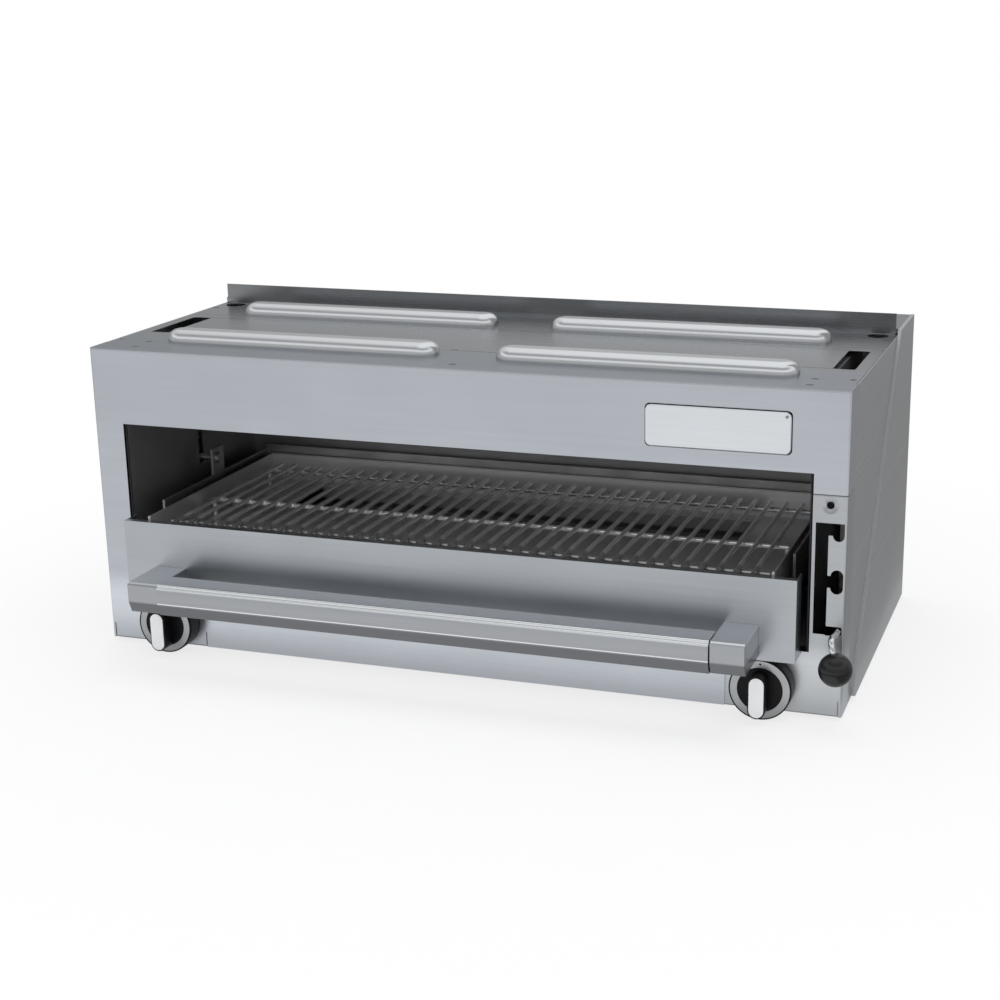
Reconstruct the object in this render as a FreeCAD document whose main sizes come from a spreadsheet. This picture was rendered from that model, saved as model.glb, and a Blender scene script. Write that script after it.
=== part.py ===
import FreeCAD, Part
import math
import os
import re
from FreeCAD import Vector

# Salamander grill: a gas broiler with a pull-out rack on a lift.
# Millimetres. X runs to the right, Y to the back, Z up.
# The origin is the centre of the body's footprint on its underside.
# Distances "from the front" are measured from the front sheet's outer face.

SIZES = {
    # body
    "body_width": 863.6,
    "body_depth": 418.0,
    "body_height": 346.1,
    "sheet": 1.5,
    "seam": 0.4,
    "bend_radius": 2.5,
    "wrap_depth": 37.0,
    "pan_edge": 20.0,
    "leg_inset": 59.8,
    "leg_setback": 40.0,
    "leg_hole_radius": 5.2,
    # front opening
    "side_column": 36.0,
    "top_band": 86.3,
    "opening_low": 69.0,
    "opening_lip": 16.0,
    # control panel at the right
    "panel_reach": 124.0,
    "panel_drop": 20.8,
    "slit_inset": 4.0,
    "slit_spacing": 120.0,
    "slit_width": 1.2,
    "slit_height": 18.0,
    "edge_recess": 2.0,
    "port_inset": 18.3,
    "port_drop": 11.1,
    "port_radius": 4.0,
    "port_sink_radius": 9.2,
    # top strips, riser and flue
    "strip_front_end": 89.3,
    "strip_rear_depth": 87.6,
    "flue_depth": 100.7,
    "riser_rise": 24.1,
    "riser_inset": 3.4,
    "vent_inset": 27.1,
    "vent_width": 23.6,
    "vent_margin_front": 17.4,
    "vent_margin_rear": 18.8,
    "vent_corner": 4.0,
    "top_hole_inset": 21.8,
    "top_hole_setback": 14.3,
    "top_hole_radius": 12.0,
    "flue_rise": 6.4,
    "flue_gap": 1.2,
    "flue_margin_side": 51.8,
    "flue_margin": 16.0,
    "flue_throat_depth": 20.5,
    # pan rests on the top
    "rest_inner": 33.8,
    "rest_inset": 65.3,
    "rest_width": 38.0,
    "rest_rise": 14.0,
    "rest_to_seam": 23.0,
    "rest_round": 12.0,
    # screws
    "screw_head_radius": 3.6,
    "screw_shank_radius": 2.0,
    "screw_sink": 0.3,
    "screw_reach": 5.0,
    # nameplate
    "plate_inset": 59.6,
    "plate_width": 152.3,
    "plate_drop": 24.5,
    "plate_height": 43.7,
    "plate_thick": 3.0,
    "plate_corner": 6.0,
    "plate_bevel": 1.0,
    "rivet_radius": 1.6,
    # side bracket
    "side_bracket_thick": 4.0,
    "side_bracket_foot": 44.0,
    "side_bracket_setback": 6.3,
    "side_bracket_rise": 0.5,
    "side_bracket_corner": 11.0,
    # cooking chamber
    "liner_inset": 3.0,
    "chamber_drop": 9.1,
    "chamber_to_riser": 17.3,
    "stud_slot_half": 6.0,
    "stud_slot_room": 8.0,
    "drip_side_gap": 22.8,
    "drip_front": 20.0,
    "drip_back_gap": 15.0,
    "drip_depth": 30.5,
    # burners
    "burner_inner": 8.0,
    "burner_side_gap": 47.8,
    "burner_front": 50.0,
    "burner_back_gap": 30.0,
    "burner_top_gap": 2.0,
    "burner_depth": 50.0,
    "tile_thick": 12.0,
    "tile_stand_out": 6.0,
    "screen_thick": 2.0,
    "screen_border": 14.0,
    "screen_pitch": 18.0,
    "rail_reach": 17.0,
    "rail_thick": 2.0,
    "venturi_setback": 60.0,
    "venturi_radius": 14.0,
    "venturi_bore": 12.0,
    "venturi_flare": 6.0,
    "venturi_low": 124.0,
    "venturi_rise": 15.0,
    "orifice_gap": 4.0,
    # gas line
    "valve_inset": 82.5,
    "knob_height": 29.5,
    "valve_half": 14.0,
    "valve_front": 14.0,
    "valve_back": 52.0,
    "manifold_depth": 80.0,
    "manifold_radius": 13.35,
    "manifold_bore": 10.5,
    "inlet_inset": 50.0,
    "inlet_reach": 12.0,
    "inlet_radius": 17.0,
    "inlet_bore": 12.3,
    "inlet_socket": 20.0,
    "tube_radius": 4.75,
    "tube_level": 56.0,
    # knobs
    "knob_radius": 33.2,
    "knob_gap": 1.5,
    "bezel_radius": 32.4,
    "bezel_inner": 24.2,
    "bezel_face": 20.0,
    "bezel_back": 17.5,
    "grip_face": 37.2,
    "grip_half": 9.3,
    "grip_low": 26.0,
    "grip_high": 20.6,
    "insert_face": 38.0,
    "insert_half": 7.8,
    "insert_low": 24.4,
    "insert_high": 19.0,
    "insert_depth": 2.0,
    "stem_radius": 4.0,
    "stem_play": 0.05,
    # lift
    "lift_travel": 100.0,
    "guide_inset": 20.0,
    "guide_setback": 136.5,
    "guide_radius": 5.0,
    "guide_play": 0.05,
    "guide_overrun": 22.0,
    "guide_foot": 50.0,
    "guide_shelf": 4.0,
    "block_half": 12.0,
    "block_half_height": 22.0,
    "stud_radius": 4.0,
    "stud_rise": 19.0,
    "stud_head_radius": 7.0,
    "carriage_gap": 19.5,
    "carriage_web": 3.0,
    "carriage_flange": 18.0,
    "carriage_front": 34.0,
    "carriage_back_gap": 10.0,
    "carriage_rise": 52.5,
    "carriage_height": 41.5,
    "rear_bar_height": 47.5,
    "rear_bar_thick": 4.0,
    "ear_half": 14.0,
    "ear_height": 32.0,
    # lever and gate
    "rod_radius": 3.25,
    "lever_height": 95.0,
    "lever_inset": 6.7,
    "pivot_offset": 2.4,
    "pivot_setback": 35.5,
    "pivot_radius": 3.0,
    "pivot_play": 0.05,
    "eye_radius": 7.0,
    "eye_half": 5.0,
    "shank_front": -8.0,
    "shank_back": 22.0,
    "ball_radius": 17.5,
    "ball_inset": 1.9,
    "ball_depth": -36.0,
    "ball_drop": 28.6,
    "bend_ahead": 31.0,
    "bend_left": 2.4,
    "gate_width": 13.4,
    "gate_inset": 19.2,
    "gate_above": 114.4,
    "gate_below": 5.0,
    "notch_inset": 2.9,
    "notch_half": 6.5,
    "notch_middle": 45.9,
    "notch_middle_run": 12.8,
    # pull-out rack
    "apron_gap": 8.8,
    "apron_face": 28.2,
    "apron_drop": 3.8,
    "apron_height": 89.4,
    "apron_stand_off": 2.0,
    "rail_clearance": 8.5,
    "slide_clearance": 0.3,
    "pan_front": -16.0,
    "pan_back_gap": 12.5,
    "pan_depth": 33.2,
    "pan_front_drop": 6.0,
    "trough_side_gap": 83.7,
    "trough_back_gap": 28.5,
    "trough_width": 79.0,
    "trough_flange_drop": 12.8,
    "grid_rod_radius": 2.75,
    "grid_bar_radius": 3.0,
    "grid_rise": 25.2,
    "grid_end_gap": 25.38,
    "grid_bar_gap": 12.6,
    "grid_half_count": 18,
    "grid_front": -2.0,
    "grid_back_gap": 23.5,
    "weld_sink": 0.3,
    "handle_inset": 83.0,
    "handle_width": 36.8,
    "handle_end_gap": 0.5,
    "handle_reach": 92.0,
    "handle_top": 38.8,
    "handle_wall": 2.0,
    "handle_rod_radius": 6.0,
}

# Sizes that follow from the ones above, kept in the same sheet as formulas.
DERIVED = {
    "side": "body_width/2",
    "opening_half": "side - side_column",
    "opening_high": "body_height - top_band",
    "panel_edge": "side - panel_reach",
    "panel_top": "opening_high - panel_drop",
    "port_across": "side - port_inset",
    "port_height": "panel_top - port_drop",
    "riser_front": "body_depth - flue_depth",
    "riser_height": "body_height + riser_rise",
    "riser_half": "side - riser_inset",
    "strip_middle_end": "riser_front - strip_rear_depth",
    "vent_across": "side - vent_inset",
    "vent_start": "strip_front_end + vent_margin_front",
    "vent_end": "strip_middle_end - vent_margin_rear",
    "top_hole_across": "side - top_hole_inset",
    "top_hole_depth": "riser_front - top_hole_setback",
    "flue_height": "body_height + flue_rise",
    "flue_start": "riser_front + sheet + flue_gap",
    "flue_throat_half": "side - flue_margin_side",
    "flue_throat_start": "flue_start + flue_margin",
    "flue_throat_end": "body_depth - flue_margin",
    "flue_throat_low": "flue_height - flue_throat_depth",
    "rest_outer": "side - rest_inset",
    "rest_front_depth": "strip_front_end - rest_to_seam",
    "rest_rear_depth": "strip_middle_end + rest_to_seam",
    "plate_right": "side - plate_inset",
    "plate_left": "plate_right - plate_width",
    "plate_high": "body_height - plate_drop",
    "plate_low": "plate_high - plate_height",
    "side_bracket_knee": "riser_front - side_bracket_setback",
    "side_bracket_height": "flue_height + side_bracket_rise",
    "chamber_half": "opening_half - liner_inset",
    "chamber_low": "opening_low - sheet",
    "chamber_high": "body_height - chamber_drop",
    "chamber_back": "riser_front - chamber_to_riser",
    "drip_half": "chamber_half - drip_side_gap",
    "drip_back": "chamber_back - drip_back_gap",
    "drip_high": "chamber_low + drip_depth",
    "burner_outer": "chamber_half - burner_side_gap",
    "burner_back": "chamber_back - burner_back_gap",
    "burner_high": "chamber_high - burner_top_gap",
    "burner_low": "burner_high - burner_depth",
    "tile_low": "burner_low - tile_stand_out",
    "tile_high": "tile_low + tile_thick",
    "venturi_across": "(burner_inner + burner_outer)/2",
    "venturi_depth": "chamber_back + venturi_setback",
    "venturi_level": "burner_low + venturi_rise",
    "valve_across": "side - valve_inset",
    "inlet_across": "side - inlet_inset",
    "guide_across": "side - guide_inset",
    "guide_depth": "chamber_back - guide_setback",
    "carriage_outer": "chamber_half - carriage_gap",
    "carriage_low": "opening_low + carriage_rise",
    "carriage_high": "carriage_low + carriage_height",
    "carriage_back": "chamber_back - carriage_back_gap",
    "ear_high": "carriage_high + ear_height",
    "stud_height": "carriage_high + stud_rise",
    "stud_slot_low": "stud_height - stud_slot_room",
    "stud_slot_high": "stud_height + lift_travel + stud_slot_room",
    "block_low": "stud_height - block_half_height",
    "block_high": "stud_height + block_half_height",
    "guide_low": "block_low - guide_foot",
    "guide_high": "block_high + lift_travel + guide_overrun",
    "lever_notch": "side - lever_inset",
    "pivot_across": "guide_across + pivot_offset",
    "pivot_depth": "guide_depth - pivot_setback",
    "gate_right": "side - gate_inset",
    "gate_left": "gate_right - gate_width",
    "gate_low": "lever_height - gate_below",
    "gate_high": "lever_height + gate_above",
    "notch_end": "side - notch_inset",
    "ball_across": "side - ball_inset",
    "ball_height": "lever_height - ball_drop",
    "apron_half": "opening_half - apron_gap",
    "apron_low": "opening_low - apron_drop",
    "apron_high": "apron_low + apron_height",
    "pan_half": "carriage_outer - carriage_web - rail_clearance",
    "pan_back": "chamber_back - pan_back_gap",
    "pan_low": "carriage_low + carriage_web + slide_clearance",
    "pan_high": "pan_low + pan_depth",
    "trough_half": "pan_half - trough_side_gap",
    "trough_back": "pan_back - trough_back_gap",
    "trough_front": "trough_back - trough_width",
    "grid_height": "pan_low + grid_rise",
    "grid_pitch": "(pan_half - grid_end_gap)/grid_half_count",
    "grid_back": "pan_back - grid_back_gap",
    "handle_outer": "side - handle_inset",
    "handle_inner": "handle_outer - handle_width",
    "bar_half": "handle_inner - handle_end_gap",
}

doc = FreeCAD.newDocument("salamander_grill")
sheet = doc.addObject("Spreadsheet::Sheet", "Dims")
cells = [(name, str(value)) for name, value in SIZES.items()]
cells += [(name, "=" + formula) for name, formula in DERIVED.items()]
for row, (name, text) in enumerate(cells, start=1):
    sheet.set(f"A{row}", name)
    sheet.setAlias(f"B{row}", name)
    sheet.set(f"B{row}", text)
doc.recompute()


def size(name):
    """Number that the sheet holds under a name."""
    return float(sheet.get(name))



# Frequent positions, as text for expressions.
FRONT = "(-body_depth/2)"
BACK = "(body_depth/2)"
SIDE = "side"


def bound(text):
    """Text of an expression with each sheet name written as Dims.name."""
    def swap(match):
        word = match.group(0)
        return "Dims." + word if word in SIZES or word in DERIVED else word
    return re.sub(r"[a-z][a-z_]*[a-z]", swap, str(text))


def tie(obj, prop, text):
    """Bind one property of a document object to the sheet."""
    obj.setExpression(prop, bound(text))


def place(obj, x, y, z):
    """Bind a document object's position to the sheet."""
    tie(obj, "Placement.Base.x", x)
    tie(obj, "Placement.Base.y", y)
    tie(obj, "Placement.Base.z", z)
    return obj


def box(x0, x1, y0, y1, z0, z1):
    """Block between two corners."""
    obj = doc.addObject("Part::Box", "block")
    tie(obj, "Length", f"({x1}) - ({x0})")
    tie(obj, "Width", f"({y1}) - ({y0})")
    tie(obj, "Height", f"({z1}) - ({z0})")
    return place(obj, x0, y0, z0)


TURN = {
    "x": FreeCAD.Rotation(Vector(0, 1, 0), 90),
    "y": FreeCAD.Rotation(Vector(1, 0, 0), -90),
    "z": FreeCAD.Rotation(),
}


def cylinder(along, radius, length, x, y, z, spin=0):
    """Round bar from a start point towards +X, +Y or +Z, its seam turned by spin degrees."""
    obj = doc.addObject("Part::Cylinder", "round_bar")
    tie(obj, "Radius", radius)
    tie(obj, "Height", length)
    turned = TURN[along] * FreeCAD.Rotation(Vector(0, 0, 1), spin)
    obj.Placement = FreeCAD.Placement(Vector(), turned)
    return place(obj, x, y, z)


def cone(along, radius, radius_end, length, x, y, z):
    """Tapered bar from a start point towards +X, +Y or +Z."""
    obj = doc.addObject("Part::Cone", "taper")
    tie(obj, "Radius1", radius)
    tie(obj, "Radius2", radius_end)
    tie(obj, "Height", length)
    obj.Placement = FreeCAD.Placement(Vector(), TURN[along])
    return place(obj, x, y, z)


def sphere(radius, x, y, z):
    """Ball about a centre."""
    obj = doc.addObject("Part::Sphere", "ball")
    tie(obj, "Radius", radius)
    return place(obj, x, y, z)


def rod(start, end, radius):
    """Round bar between two points given in numbers."""
    start, end = Vector(*start), Vector(*end)
    obj = doc.addObject("Part::Cylinder", "slanted_bar")
    tie(obj, "Radius", radius)
    obj.Height = (end - start).Length
    obj.Placement = FreeCAD.Placement(start, FreeCAD.Rotation(Vector(0, 0, 1), end - start))
    return obj


def bent_rod(points, radius):
    """Round bars through a row of points, with a ball in each corner."""
    pieces = []
    for start, end in zip(points, points[1:]):
        pieces.append(rod(start, end, radius))
    for corner in points[1:-1]:
        pieces.append(sphere(radius, *corner))
    return fuse(pieces)


def fuse(pieces):
    """One solid made of several."""
    if len(pieces) == 1:
        return pieces[0]
    obj = doc.addObject("Part::MultiFuse", "joined")
    obj.Shapes = pieces
    return obj


def cut(base, *tools):
    """Base with every tool taken away."""
    obj = doc.addObject("Part::Cut", "trimmed")
    obj.Base = base
    obj.Tool = fuse(list(tools))
    return obj


def group(pieces):
    """Separate solids kept in one object."""
    obj = doc.addObject("Part::Compound", "group")
    obj.Links = pieces
    return obj


def mirrored(source):
    """The same object on the other side of the middle plane."""
    obj = doc.addObject("Part::Mirroring", "mirrored")
    obj.Source = source
    obj.Normal = Vector(1, 0, 0)
    return obj


def both_sides(source):
    """An object and its mirror image as separate solids."""
    return group([source, mirrored(source)])


def rounded(base, radius, pick, kind="Part::Fillet"):
    """Fillet or chamfer on the edges that pick() chooses by their two ends."""
    doc.recompute()
    chosen = []
    for number, edge in enumerate(base.Shape.Edges, start=1):
        if pick(edge):
            chosen.append((number, radius, radius))
    if not chosen:
        raise ValueError("no edge chosen to round")
    obj = doc.addObject(kind, "rounded")
    obj.Base = base
    obj.Edges = chosen
    return obj


def runs_along(edge, axis):
    """Whether a straight edge runs along x, y or z."""
    if edge.Curve.TypeId != "Part::GeomLine":
        return False
    step = edge.Vertexes[-1].Point - edge.Vertexes[0].Point
    return abs(abs(getattr(step, axis)) - step.Length) < 1e-6


def middle(edge):
    """Middle of an edge's bounding box."""
    return edge.BoundBox.Center


def near(a, b):
    return abs(a - b) < 0.02


def prism(points, x0, x1):
    """Flat shape given by (y, z) points, drawn out along X."""
    outline = doc.addObject("Part::Polygon", "outline")
    outline.Nodes = [Vector(0, y, z) for y, z in points]
    outline.Close = True
    obj = doc.addObject("Part::Extrusion", "prism")
    obj.Base = outline
    obj.DirMode = "Custom"
    obj.Dir = Vector(1, 0, 0)
    tie(obj, "LengthFwd", f"({x1}) - ({x0})")
    obj.Solid = True
    tie(obj, "Placement.Base.x", x0)
    return obj


NODES = []


def node(name, obj):
    """Name a finished sub-part; its label is also its file name."""
    obj.Label = name
    NODES.append(obj)
    return obj


front = -size("body_depth") / 2
side = size("side")
top = size("body_height")


def wrapped_sheet(x0, x1, depth, z1, right_only=False):
    """Sheet with its top and sides folded back, open behind and below."""
    outer = box(x0, x1, FRONT, f"{FRONT} + {depth}", "0", z1)
    inner_left = x0 if right_only else f"{x0} + sheet"
    inner = box(f"{inner_left} - {'1' if right_only else '0'}", f"{x1} - sheet",
                f"{FRONT} + sheet", f"{FRONT} + {depth} + 1", "-1", f"{z1} - sheet")

    def corner(offset, high):
        def pick(edge):
            at = middle(edge)
            if not near(at.y, front + offset):
                return False
            upright = runs_along(edge, "z") and near(abs(at.x), side - offset)
            level = runs_along(edge, "x") and near(at.z, high - offset)
            return upright or level
        return pick

    doc.recompute()
    high = outer.Shape.BoundBox.ZMax
    outer = rounded(outer, size("bend_radius"), corner(0, high))
    inner = rounded(inner, size("bend_radius") - size("sheet"), corner(size("sheet"), high))
    return cut(outer, inner)


def slit(x):
    """Narrow relief cut up from the front sheet's lower edge."""
    return box(f"{x} - slit_width/2", f"{x} + slit_width/2", f"{FRONT} - 1",
               f"{FRONT} + sheet + 1", "-1", "slit_height")


def screw_hole(x, depth):
    return cylinder("z", "screw_head_radius", "sheet + 2", x, f"{FRONT} + {depth}",
                    "body_height - sheet - 1")


# Screws that hold the top strips: distance from the body's side and from the front.
FRONT_STRIP_SCREWS = [(46.6, "51"), (46.6, "21"), (8.6, "56")]
REAR_STRIP_SCREWS = [(45.6, "riser_front - 44.8"), (8.1, "riser_front - 39.8")]
front_screws = [(f"{s}(side - {x})", y) for x, y in FRONT_STRIP_SCREWS for s in ("-", "")]
front_screws.append(("0", "21.4"))
rear_screws = [(f"{s}(side - {x})", y) for x, y in REAR_STRIP_SCREWS for s in ("-", "")]
middle_screws = [("-26.8", "strip_front_end + 7.7"), ("27.2", "strip_middle_end - 8.2")]

# front fascia with the front strip of the top
shell = wrapped_sheet(f"-{SIDE}", SIDE, "strip_front_end", "body_height")
behind_wrap = [
    box(f"{s}{SIDE} - (sheet + seam)", f"{s}{SIDE} + (sheet + seam)",
        f"{FRONT} + wrap_depth", f"{FRONT} + strip_front_end + 2", "-1", "body_height + 1")
    for s in ("-", "")
]
opening = box("-opening_half", "opening_half", f"{FRONT} - 1", f"{FRONT} + sheet + 1",
              "opening_low", "opening_high")
room_for_panel = [
    box("panel_edge - seam/2", f"{SIDE} + 1", f"{FRONT} - 1", f"{FRONT} + wrap_depth + 1",
        "-1", "opening_low"),
    box("opening_half", f"{SIDE} + 1", f"{FRONT} - 1", f"{FRONT} + wrap_depth + 1",
        "-1", "panel_top + seam/2"),
]
fascia_slits = [slit(f"-{SIDE} + slit_inset"), slit(f"-{SIDE} + slit_inset + slit_spacing")]
fascia_recess = box(f"-{SIDE} + slit_inset", f"-{SIDE} + slit_inset + slit_spacing",
                    f"{FRONT} - 1", f"{FRONT} + sheet + 1", "-1", "edge_recess")
left_stem_hole = cylinder("y", "stem_radius + 2", "sheet + 2", "-valve_across",
                          f"{FRONT} - 1", "knob_height")
shell = cut(shell, opening, *behind_wrap, *room_for_panel, *fascia_slits, fascia_recess,
            left_stem_hole, *[screw_hole(x, y) for x, y in front_screws])
LIP = (f"{FRONT} + sheet/2", f"{FRONT} + opening_lip")
fascia = fuse([
    shell,
    box("-opening_half - sheet", "-opening_half", *LIP, "opening_low - sheet",
        "opening_high + sheet"),
    box("opening_half", "opening_half + sheet", *LIP, "panel_top + seam/2",
        "opening_high + sheet"),
    box("-opening_half", "opening_half", *LIP, "opening_high", "opening_high + sheet"),
    box("-opening_half", "panel_edge - seam/2", *LIP, "opening_low - sheet", "opening_low"),
])
node("front_fascia", fascia)

# control panel: right column with the gate, lower right corner
panel_shell = wrapped_sheet("panel_edge + seam/2", SIDE, "wrap_depth", "panel_top", True)
panel_top_fold = box("opening_half - 5", f"{SIDE} - sheet", f"{FRONT} + 8",
                     f"{FRONT} + wrap_depth + 1", "panel_top - sheet - 1", "panel_top + 1")
panel_opening = box("panel_edge - 5", "opening_half", f"{FRONT} - 1",
                    f"{FRONT} + wrap_depth + 2", "opening_low", "panel_top + 1")
under_lip = box("panel_edge - 5", "opening_half", f"{FRONT} + sheet",
                f"{FRONT} + wrap_depth + 2", "opening_low - sheet - 1", "opening_low + 1")
THROUGH = (f"{FRONT} - 1", f"{FRONT} + sheet + 1")
TOP_POCKET = "lever_height + lift_travel + 1.4"
MIDDLE_LOW = "lever_height + notch_middle"
MIDDLE_HIGH = "lever_height + notch_middle + notch_middle_run"
gate = [
    box("gate_left", "gate_right", *THROUGH, "gate_low", "gate_high"),
    # top notch: passage over the lip, then a pocket
    box("gate_right - 1", "notch_end", *THROUGH, TOP_POCKET, "gate_high"),
    cylinder("y", "notch_half - 0.6", "sheet + 2", "notch_end - notch_half + 0.6",
             f"{FRONT} - 1", TOP_POCKET),
    # middle notch: neck, then an upright round-ended pocket
    box("gate_right - 1", "notch_end - notch_half", *THROUGH, MIDDLE_LOW, MIDDLE_HIGH),
    box("notch_end - 2*notch_half", "notch_end", *THROUGH, MIDDLE_LOW, MIDDLE_HIGH),
    cylinder("y", "notch_half", "sheet + 2", "notch_end - notch_half", f"{FRONT} - 1",
             MIDDLE_LOW),
    cylinder("y", "notch_half", "sheet + 2", "notch_end - notch_half", f"{FRONT} - 1",
             MIDDLE_HIGH),
    # bottom notch: short passage with clipped end corners
    box("gate_right - 1", "notch_end - 2", *THROUGH, "gate_low - 0.9", "lever_height + 4.3"),
    box("notch_end - 3", "notch_end", *THROUGH, "gate_low + 0.6", "lever_height + 3.8"),
]
port = [
    cylinder("y", "port_radius", "sheet + 2", "port_across", f"{FRONT} - 1", "port_height"),
    cone("y", "port_sink_radius", "port_radius", "sheet - 0.1", "port_across", FRONT,
         "port_height"),
]
right_stem_hole = cylinder("y", "stem_radius + 2", "sheet + 2", "valve_across",
                           f"{FRONT} - 1", "knob_height")
panel_slit = slit(f"{SIDE} - slit_inset")
panel_recess = box("panel_edge", f"{SIDE} - slit_inset", f"{FRONT} - 1",
                   f"{FRONT} + sheet + 1", "-1", "edge_recess")
panel = cut(panel_shell, panel_top_fold, panel_opening, under_lip, *gate, *port,
            right_stem_hole, panel_slit, panel_recess)
panel = fuse([
    panel,
    box("opening_half", "opening_half + sheet", *LIP, "opening_low - sheet", "panel_top - sheet"),
    box("panel_edge + seam/2", "opening_half", *LIP, "opening_low - sheet", "opening_low"),
])
node("control_panel", panel)

# side panels
left_panel = fuse([
    box(f"-{SIDE}", f"-{SIDE} + sheet", f"{FRONT} + wrap_depth + seam", BACK, "0", "body_height"),
    box(f"-{SIDE} + sheet", f"-{SIDE} + 2*sheet", f"{FRONT} + wrap_depth - 15",
        f"{FRONT} + wrap_depth + 15", "25", "body_height - 8"),
])
node("side_panel_left", left_panel)
node("side_panel_right", mirrored(left_panel))

# bottom pan with its upright edges
PAN_SIDE = f"({SIDE} - sheet - 0.2)"
leg_holes = [
    cylinder("z", "leg_hole_radius", "sheet + 2", f"{sx}(side - leg_inset)",
             f"{sy}(body_depth/2 - leg_setback)", "-1")
    for sx in ("-", "") for sy in ("-", "")
]
air_slots = [
    box(f"{middle_x} - 45", f"{middle_x} + 45", y, y + 8, "-1", "sheet + 1")
    for middle_x in ("-side*0.66", "-side*0.38", "side*0.38", "side*0.66") for y in (-40, 30)
]
stem_room = [cylinder("y", "stem_radius + 14", "6", f"{s}valve_across", FRONT, "knob_height")
             for s in ("-", "")]
bottom = cut(
    box(f"-{PAN_SIDE}", PAN_SIDE, f"{FRONT} + sheet + 0.2", f"{BACK} - sheet - 0.2", "0",
        "pan_edge"),
    box(f"-{PAN_SIDE} + sheet", f"{PAN_SIDE} - sheet", f"{FRONT} + 2*sheet + 0.2",
        f"{BACK} - 2*sheet - 0.2", "sheet", "pan_edge + 1"),
    cylinder("y", "inlet_radius + 1", "12", "inlet_across", f"{BACK} - 10", "knob_height"),
    *leg_holes, *air_slots, *stem_room,
)
node("bottom_pan", bottom)

# back panel
BACK_SCREWS = [(f"{s}{x}", z) for x in ("(side - 13.8)", "side*0.35")
               for z in ("40", "body_height - 20.1") for s in ("-", "")]
back = cut(
    box(f"-{SIDE} + sheet + 0.2", f"{SIDE} - sheet - 0.2", f"{BACK} - sheet", BACK, "0",
        "body_height - 1"),
    cylinder("y", "inlet_radius + 1", "sheet + 2", "inlet_across", f"{BACK} - sheet - 1",
             "knob_height"),
    *[cylinder("y", "screw_shank_radius", "sheet + 2", x, f"{BACK} - sheet - 1", z)
      for x, z in BACK_SCREWS],
    *[box(f"side*{share} - 30", f"side*{share} + 30", f"{BACK} - sheet - 1", f"{BACK} + 1",
          f"body_height - {drop}", f"body_height - {drop} + 6")
      for share in (-0.62, -0.31, 0, 0.31, 0.62) for drop in (106, 88, 70)],
)
node("back_panel", back)
back_screws = group([
    fuse([cylinder("y", "screw_head_radius + 0.6", "2.2", x, BACK, z),
          cylinder("y", "screw_shank_radius", "6", x, f"{BACK} - 6", z)])
    for x, z in BACK_SCREWS
])

# middle strip of the top, with the two vents
STRIP_HALF = f"({SIDE} - sheet - seam)"
STRIP_Z = ("body_height - sheet", "body_height")
vent = box("vent_across - vent_width/2", "vent_across + vent_width/2", f"{FRONT} + vent_start",
           f"{FRONT} + vent_end", "body_height - sheet - 1", "body_height + 1")
vent = rounded(vent, size("vent_corner"), lambda edge: runs_along(edge, "z"))
top_middle = cut(
    box(f"-{STRIP_HALF}", STRIP_HALF, f"{FRONT} + strip_front_end + seam",
        f"{FRONT} + strip_middle_end - seam/2", *STRIP_Z),
    vent, mirrored(vent), *[screw_hole(x, y) for x, y in middle_screws],
)
node("top_middle", top_middle)

# rear strip of the top, folded up into the riser
riser_plain = fuse([
    box(f"-{STRIP_HALF}", STRIP_HALF, f"{FRONT} + strip_middle_end + seam/2",
        f"{FRONT} + riser_front + sheet", *STRIP_Z),
    box("-riser_half", "riser_half", f"{FRONT} + riser_front", f"{FRONT} + riser_front + sheet",
        "body_height - sheet", "riser_height"),
])
corner_relief = cylinder("z", "2", "sheet + 2", f"{STRIP_HALF} - 0.4", f"{FRONT} + riser_front",
                         "body_height - sheet - 1")
top_hole = cylinder("z", "top_hole_radius", "sheet + 2", "top_hole_across",
                    f"{FRONT} + top_hole_depth", "body_height - sheet - 1", 35)
top_rear = cut(riser_plain, corner_relief, mirrored(corner_relief), top_hole, mirrored(top_hole),
               *[screw_hole(x, y) for x, y in rear_screws])
node("top_rear", top_rear)

# flue collar behind the riser
throat = box("-flue_throat_half", "flue_throat_half", f"{FRONT} + flue_throat_start",
             f"{FRONT} + flue_throat_end", "flue_throat_low - 1", "flue_height + 1")
collar = cut(
    box(f"-{SIDE}", SIDE, f"{FRONT} + flue_start", BACK, "body_height + 0.3", "flue_height"),
    box(f"-{SIDE} + sheet", f"{SIDE} - sheet", f"{FRONT} + flue_start + sheet",
        f"{BACK} - sheet", "body_height - 1", "flue_height - sheet"),
)
throat_wall = box("-flue_throat_half - sheet", "flue_throat_half + sheet",
                  f"{FRONT} + flue_throat_start - sheet", f"{FRONT} + flue_throat_end + sheet",
                  "flue_throat_low", "flue_height")
node("flue_collar", cut(fuse([collar, throat_wall]), throat))

# pressed pan rests on the top
END_RADIUS = "rest_width/2"
REST_SPAN = "rest_outer - rest_inner"


def rest(depth, inset, low, high):
    """Round-ended raised rib, grown or shrunk by an inset."""
    radius = f"({END_RADIUS} - {inset})"
    y = f"{FRONT} + {depth}"
    height = f"({high}) - ({low})"
    return fuse([
        box("rest_inner + rest_width/2", "rest_outer - rest_width/2", f"{y} - {radius}",
            f"{y} + {radius}", low, high),
        cylinder("z", radius, height, "rest_inner + rest_width/2", y, low),
        cylinder("z", radius, height, "rest_outer - rest_width/2", y, low),
    ])


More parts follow.
